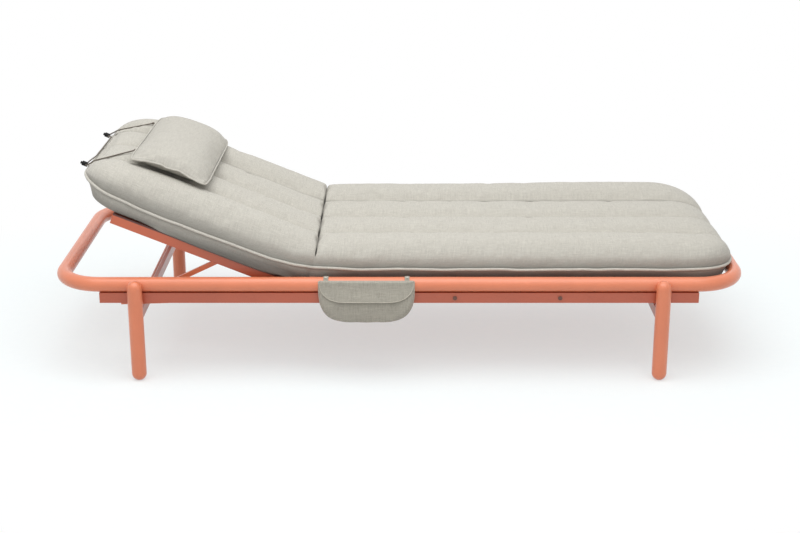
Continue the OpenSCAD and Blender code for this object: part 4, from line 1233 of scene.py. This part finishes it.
class LOUNGER_OT_pouch(bpy.types.Operator):
    """Sew the pouch with its flap, piping and straps"""
    bl_idname = "lounger.pouch"
    bl_label = "Pouch"

    def at(self, x, depth, z):
        """A place on the pouch: along it, out from its back and up from its top edge."""
        return (POUCH_X + x, -(POUCH_BACK + depth), POUCH_TOP + z)

    def execute(self, context):
        s = context.scene.lounger_pouch
        half = s.width / 2 - 0.0015
        count = 64
        rings = [0.0, 0.12, 0.25, 0.38, 0.5, 0.61, 0.71, 0.79, 0.86, 0.92, 0.96, 0.985, 1.0]
        rows = []
        for r in rings + rings[-2::-1]:
            front = len(rows) < len(rings)
            row = []
            for k in range(count + 1):
                x, z = (r * q for q in pouch_reach(k / count, half))
                depth = pouch_depth(x, z, half, s.bulge) if front else 0.0008
                row.append(self.at(x, max(depth, 0.0008), z))
            rows.append(row)
        rows = np.array(rows)
        flat = rows.reshape(-1, 3)
        uv = np.stack([flat[:, 0], flat[:, 2] + (flat[:, 1] + POUCH_BACK)], -1)
        body = piece("pouch_bag", flat, lofted(rows), uv, "pouch_fabric")
        bm = bmesh.new()
        bm.from_mesh(body.data)
        bmesh.ops.remove_doubles(bm, verts=bm.verts, dist=1e-5)
        bm.to_mesh(body.data)
        bm.free()
        co = coords(body)
        pins = [k for k in range(len(co)) if co[k, 1] > -(POUCH_BACK + 0.004) or co[k, 2] > POUCH_TOP - 0.001]
        puff(body, pins, 1.5, 0.015, 0.0035, frames=16, stiff=15.0, bend=0.2)
        co = coords(body)
        for p in co:
            fullness = min(1.0, (-p[1] - POUCH_BACK) / 0.02)
            if fullness > 0.1:
                p[1] += fullness * (0.0011 * wander(p, 30, 3.0) + 0.0007 * wander(p, 75, 9.0))
                p[1] = max(p[1], -(POUCH_BACK + s.bulge))
        set_coords(body, co)
        rim_line = []
        for k in range(97):
            x, z = pouch_reach(k / 96, half)
            rim_line.append(self.at(x, 0.0012, z))
        thick(body, POUCH_CLOTH, 1.0 if self.faces_back(body) else -1.0)
        outward(smoother(body))
        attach(body, "pouch")
        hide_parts("pouch_body")
        trim = tube("pouch_piping", even(rim_line, 0.005), 0.0016, 8, "pouch_piping")
        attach(trim, "pouch")
        self.flap(s, half)
        self.straps()
        return {"FINISHED"}

    def faces_back(self, obj):
        """True where the bag's faces look to its inside."""
        total = 0.0
        for p in obj.data.polygons:
            total += p.normal.y * p.area * (-1 if p.center.y < -(POUCH_BACK + 0.01) else 0)
        return total < 0

    def flap(self, s, half):
        """The flap: over the bag's top edge and down its front, dented where its stud sits."""
        cols, down = 60, 12
        rows = []
        for k in range(cols + 1):
            q = -math.cos(math.pi * k / cols)
            q = 0.55 * q + 0.45 * (2 * k / cols - 1)
            x = q * (half - 0.0015)
            corner = max(0.0, abs(q) - 0.42) / 0.58
            drop = max(s.flap_drop * max(0.0, 1 - corner ** 2.4) ** (1 / 2.4), 0.002)
            front = pouch_depth(x, 0, half, s.bulge)
            line = []
            for t in np.linspace(0, 1, 7):
                hump = 0.0016 * math.sin(math.pi * t) * min(1, front / 0.02)
                line.append(self.at(x, t * (front + FLAP_GAP) - 0.0002, 0.0014 + hump))
            for j in range(1, down + 1):
                z = -drop * j / down
                depth = pouch_depth(x, z, half, s.bulge) + FLAP_GAP
                dent = 0.0014 * math.exp(-((x / 0.006) ** 2) - (((z + 0.026) / 0.006) ** 2))
                line.append(self.at(x, min(depth - dent, 0.0338), z + 0.0006))
            rows.append(line)
        rows = np.array(rows)
        flat = rows.reshape(-1, 3)
        uv = np.stack([flat[:, 0], np.concatenate([run_of(row) for row in rows])], -1)
        flap = piece("pouch_cover", flat, lofted(rows), uv, "pouch_fabric")
        co = coords(flap)
        for p in co:
            if p[2] < POUCH_TOP - 0.004:
                p[1] += 0.0006 * wander(p, 40, 5.0)
        set_coords(flap, co)
        thick(flap, POUCH_CLOTH, 0.0)
        outward(smoother(flap))
        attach(flap, "flap")
        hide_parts("pouch_flap")
        trim = tube("flap_piping", even(eased(rows[:, -1], 1), 0.004), 0.0015, 8, "pouch_piping")
        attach(trim, "flap")

    def straps(self):
        """Two webbing loops round the rail and under the pouch's back."""
        down = [(-0.0222, -0.012), (-0.0208, -0.030), (-0.0192, -0.047), (-0.0165, -0.0515),
                (-0.012, -0.0525)]
        line = []
        for a in range(-8, 189, 7):
            line.append((0.0225 * math.cos(math.radians(a)), 0.0225 * math.sin(math.radians(a))))
        line = np.array(line + down + [(0.0, -0.0525)] + [(-y, z) for y, z in down[::-1]])
        ahead = between(line)
        normal = np.stack([ahead[:, 1], -ahead[:, 0]], -1)
        section = [(-0.0070, -0.0005), (-0.0064, -0.0009), (0.0064, -0.0009), (0.0070, -0.0005),
                   (0.0070, 0.0005), (0.0064, 0.0009), (0.0, 0.0011), (-0.0064, 0.0009), (-0.0070, 0.0005)]
        verts, faces, uvs = [], [], []
        for side in (-1, 1):
            faces += skin(len(line), len(section), True, len(verts))
            x = POUCH_X + side * 0.1155
            for p, n, r in zip(line, normal, run_of(line)):
                for w, t in section:
                    q = p + n * t
                    verts.append((x + w, -RAIL_Y + q[0], RAIL_Z + q[1]))
                    uvs.append((r, w))
        obj = outward(piece("pouch_loops", verts, faces, uvs, "webbing"))
        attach(obj, "pouch")
        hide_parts("pouch_straps")


# Lights: name, place, size and share of the key light's power
LIGHTS = (
    ("softbox", (-0.2, -0.8, 3.1), (3.6, 2.4), 1.0),
    ("rim_box", (0.4, 2.6, 2.2), (3.0, 1.2), 0.2),
    ("front_box", (0.0, -3.2, 2.5), (4.0, 1.5), 0.16),
)
AIMED_AT = (0, 0, 0.3)

# Camera: the photograph's width and focal length in pixels, sensor in millimetres, place and look down
PHOTO_WIDTH = 800.0
FOCAL = 1467.0
SENSOR = 36.0
CAMERA_PLACE = (0.0, -4.325, 1.675)
LOOKS_DOWN = 18.8


class LOUNGER_OT_stage(bpy.types.Operator):
    """Set up the floor, the lights and the camera at the photograph's angle"""
    bl_idname = "lounger.stage"
    bl_label = "Stage"

    def execute(self, context):
        s = context.scene.lounger_stage
        scene = context.scene
        mesh = bpy.data.meshes.new("floor")
        h = s.floor_size / 2
        mesh.from_pydata([(-h, -h, 0), (h, -h, 0), (h, h, 0), (-h, h, 0)], [], [(0, 1, 2, 3)])
        floor = shown("floor", mesh)
        mesh.materials.append(self.paper())

        world = scene.world or bpy.data.worlds.new("studio")
        scene.world = world
        world.use_nodes = True
        kit = NodeKit(world.node_tree)
        kit.nodes.clear()
        fill = kit.add("ShaderNodeBackground", Color=(1, 1, 1), Strength=s.sky)
        white = kit.add("ShaderNodeBackground", Color=(1, 1, 1))
        seen = kit.shown_by(kit.seen_ray(), fill.outputs[0], white.outputs[0])
        kit.add("ShaderNodeOutputWorld", Surface=seen)

        for name, spot, size, share in LIGHTS:
            light = bpy.data.lights.new(name, "AREA")
            light.shape = "RECTANGLE"
            light.size, light.size_y = size
            light.energy = s.key * share
            lamp = shown(name, light)
            lamp.location = spot
            lamp.rotation_euler = (Vector(AIMED_AT) - Vector(spot)).to_track_quat("-Z", "Y").to_euler()

        data = bpy.data.cameras.new("camera")
        data.sensor_width = SENSOR
        data.lens = FOCAL / PHOTO_WIDTH * SENSOR
        data.shift_x = 0.8 / PHOTO_WIDTH
        data.clip_end = 200.0
        camera = shown("camera", data)
        camera.location = CAMERA_PLACE
        camera.rotation_euler = (math.radians(90 - LOOKS_DOWN), 0, 0)
        scene.camera = camera
        scene.view_settings.view_transform = "Standard"
        return {"FINISHED"}

    def paper(self):
        """White studio paper that turns to plain white away from the lounger and keeps its shadow."""
        material, kit, shader = new_material("studio_paper")
        place = kit.place()
        grain = kit.noisy(place, 40.0, 3.0)
        grain = kit.ramp(grain, (0.3, (0.415, 0.46, 0.465)), (0.7, (0.425, 0.47, 0.475)))
        kit.dress(shader, Base_Color=grain, Roughness=0.9, Specular_IOR_Level=0.0)
        matt = kit.add("ShaderNodeBsdfDiffuse", Color=(0.7, 0.7, 0.7))
        glow = kit.add("ShaderNodeEmission", Color=(1, 1, 1), Strength=1.0)
        lift = kit.add("ShaderNodeEmission", Strength=0.53)
        lit = kit.nodes.new("ShaderNodeAddShader")
        for socket, node in zip(lit.inputs, (shader, lift)):
            kit.link(node.outputs[0], socket)
        fade = kit.add("ShaderNodeTexGradient", Vector=kit.scaled(place, (0.45, 0.7, 1.0)))
        fade.gradient_type = "SPHERICAL"
        near = kit.ramp(fade.outputs["Fac"], (0.0, 0), (0.35, 1))
        paper = kit.shown_by(near, glow.outputs[0], lit.outputs[0])
        kit.link(kit.shown_by(kit.seen_ray(), matt.outputs[0], paper), kit.nodes["Material Output"].inputs[0])
        return material


class LOUNGER_PT_panel(bpy.types.Panel):
    """Sizes, colours and making steps of the lounger"""
    bl_label = "Spa Lounger"
    bl_idname = "LOUNGER_PT_panel"
    bl_space_type = "VIEW_3D"
    bl_region_type = "UI"
    bl_category = "Lounger"

    def draw(self, context):
        scene = context.scene
        for label, group, _ in GROUPS:
            box = self.layout.box()
            box.label(text=label)
            settings = getattr(scene, group)
            for name in settings.bl_rna.properties.keys():
                if name not in ("rna_type", "name"):
                    box.prop(settings, name)
        for step in STEPS:
            self.layout.operator(step.bl_idname)


GROUPS = (
    ("Cushion", "lounger_cushion", LoungerCushionSettings),
    ("Pillow", "lounger_pillow", LoungerPillowSettings),
    ("Pouch", "lounger_pouch", LoungerPouchSettings),
    ("Finish", "lounger_finish", LoungerFinishSettings),
    ("Stage", "lounger_stage", LoungerStageSettings),
)
STEPS = (
    LOUNGER_OT_stage,
    LOUNGER_OT_finishes,
    LOUNGER_OT_cushion,
    LOUNGER_OT_stitches,
    LOUNGER_OT_pillow,
    LOUNGER_OT_cords,
    LOUNGER_OT_pouch,
)
CLASSES = (*(kind for _, _, kind in GROUPS), *STEPS, LOUNGER_PT_panel)


def register():
    for c in CLASSES:
        bpy.utils.register_class(c)
    for _, group, kind in GROUPS:
        setattr(bpy.types.Scene, group, PointerProperty(type=kind))


def unregister():
    for _, group, _ in GROUPS:
        delattr(bpy.types.Scene, group)
    for c in reversed(CLASSES):
        bpy.utils.unregister_class(c)


def main():
    register()
    for step in STEPS:
        area, name = step.bl_idname.split(".")
        getattr(getattr(bpy.ops, area), name)()


if __name__ == "__main__":
    main()
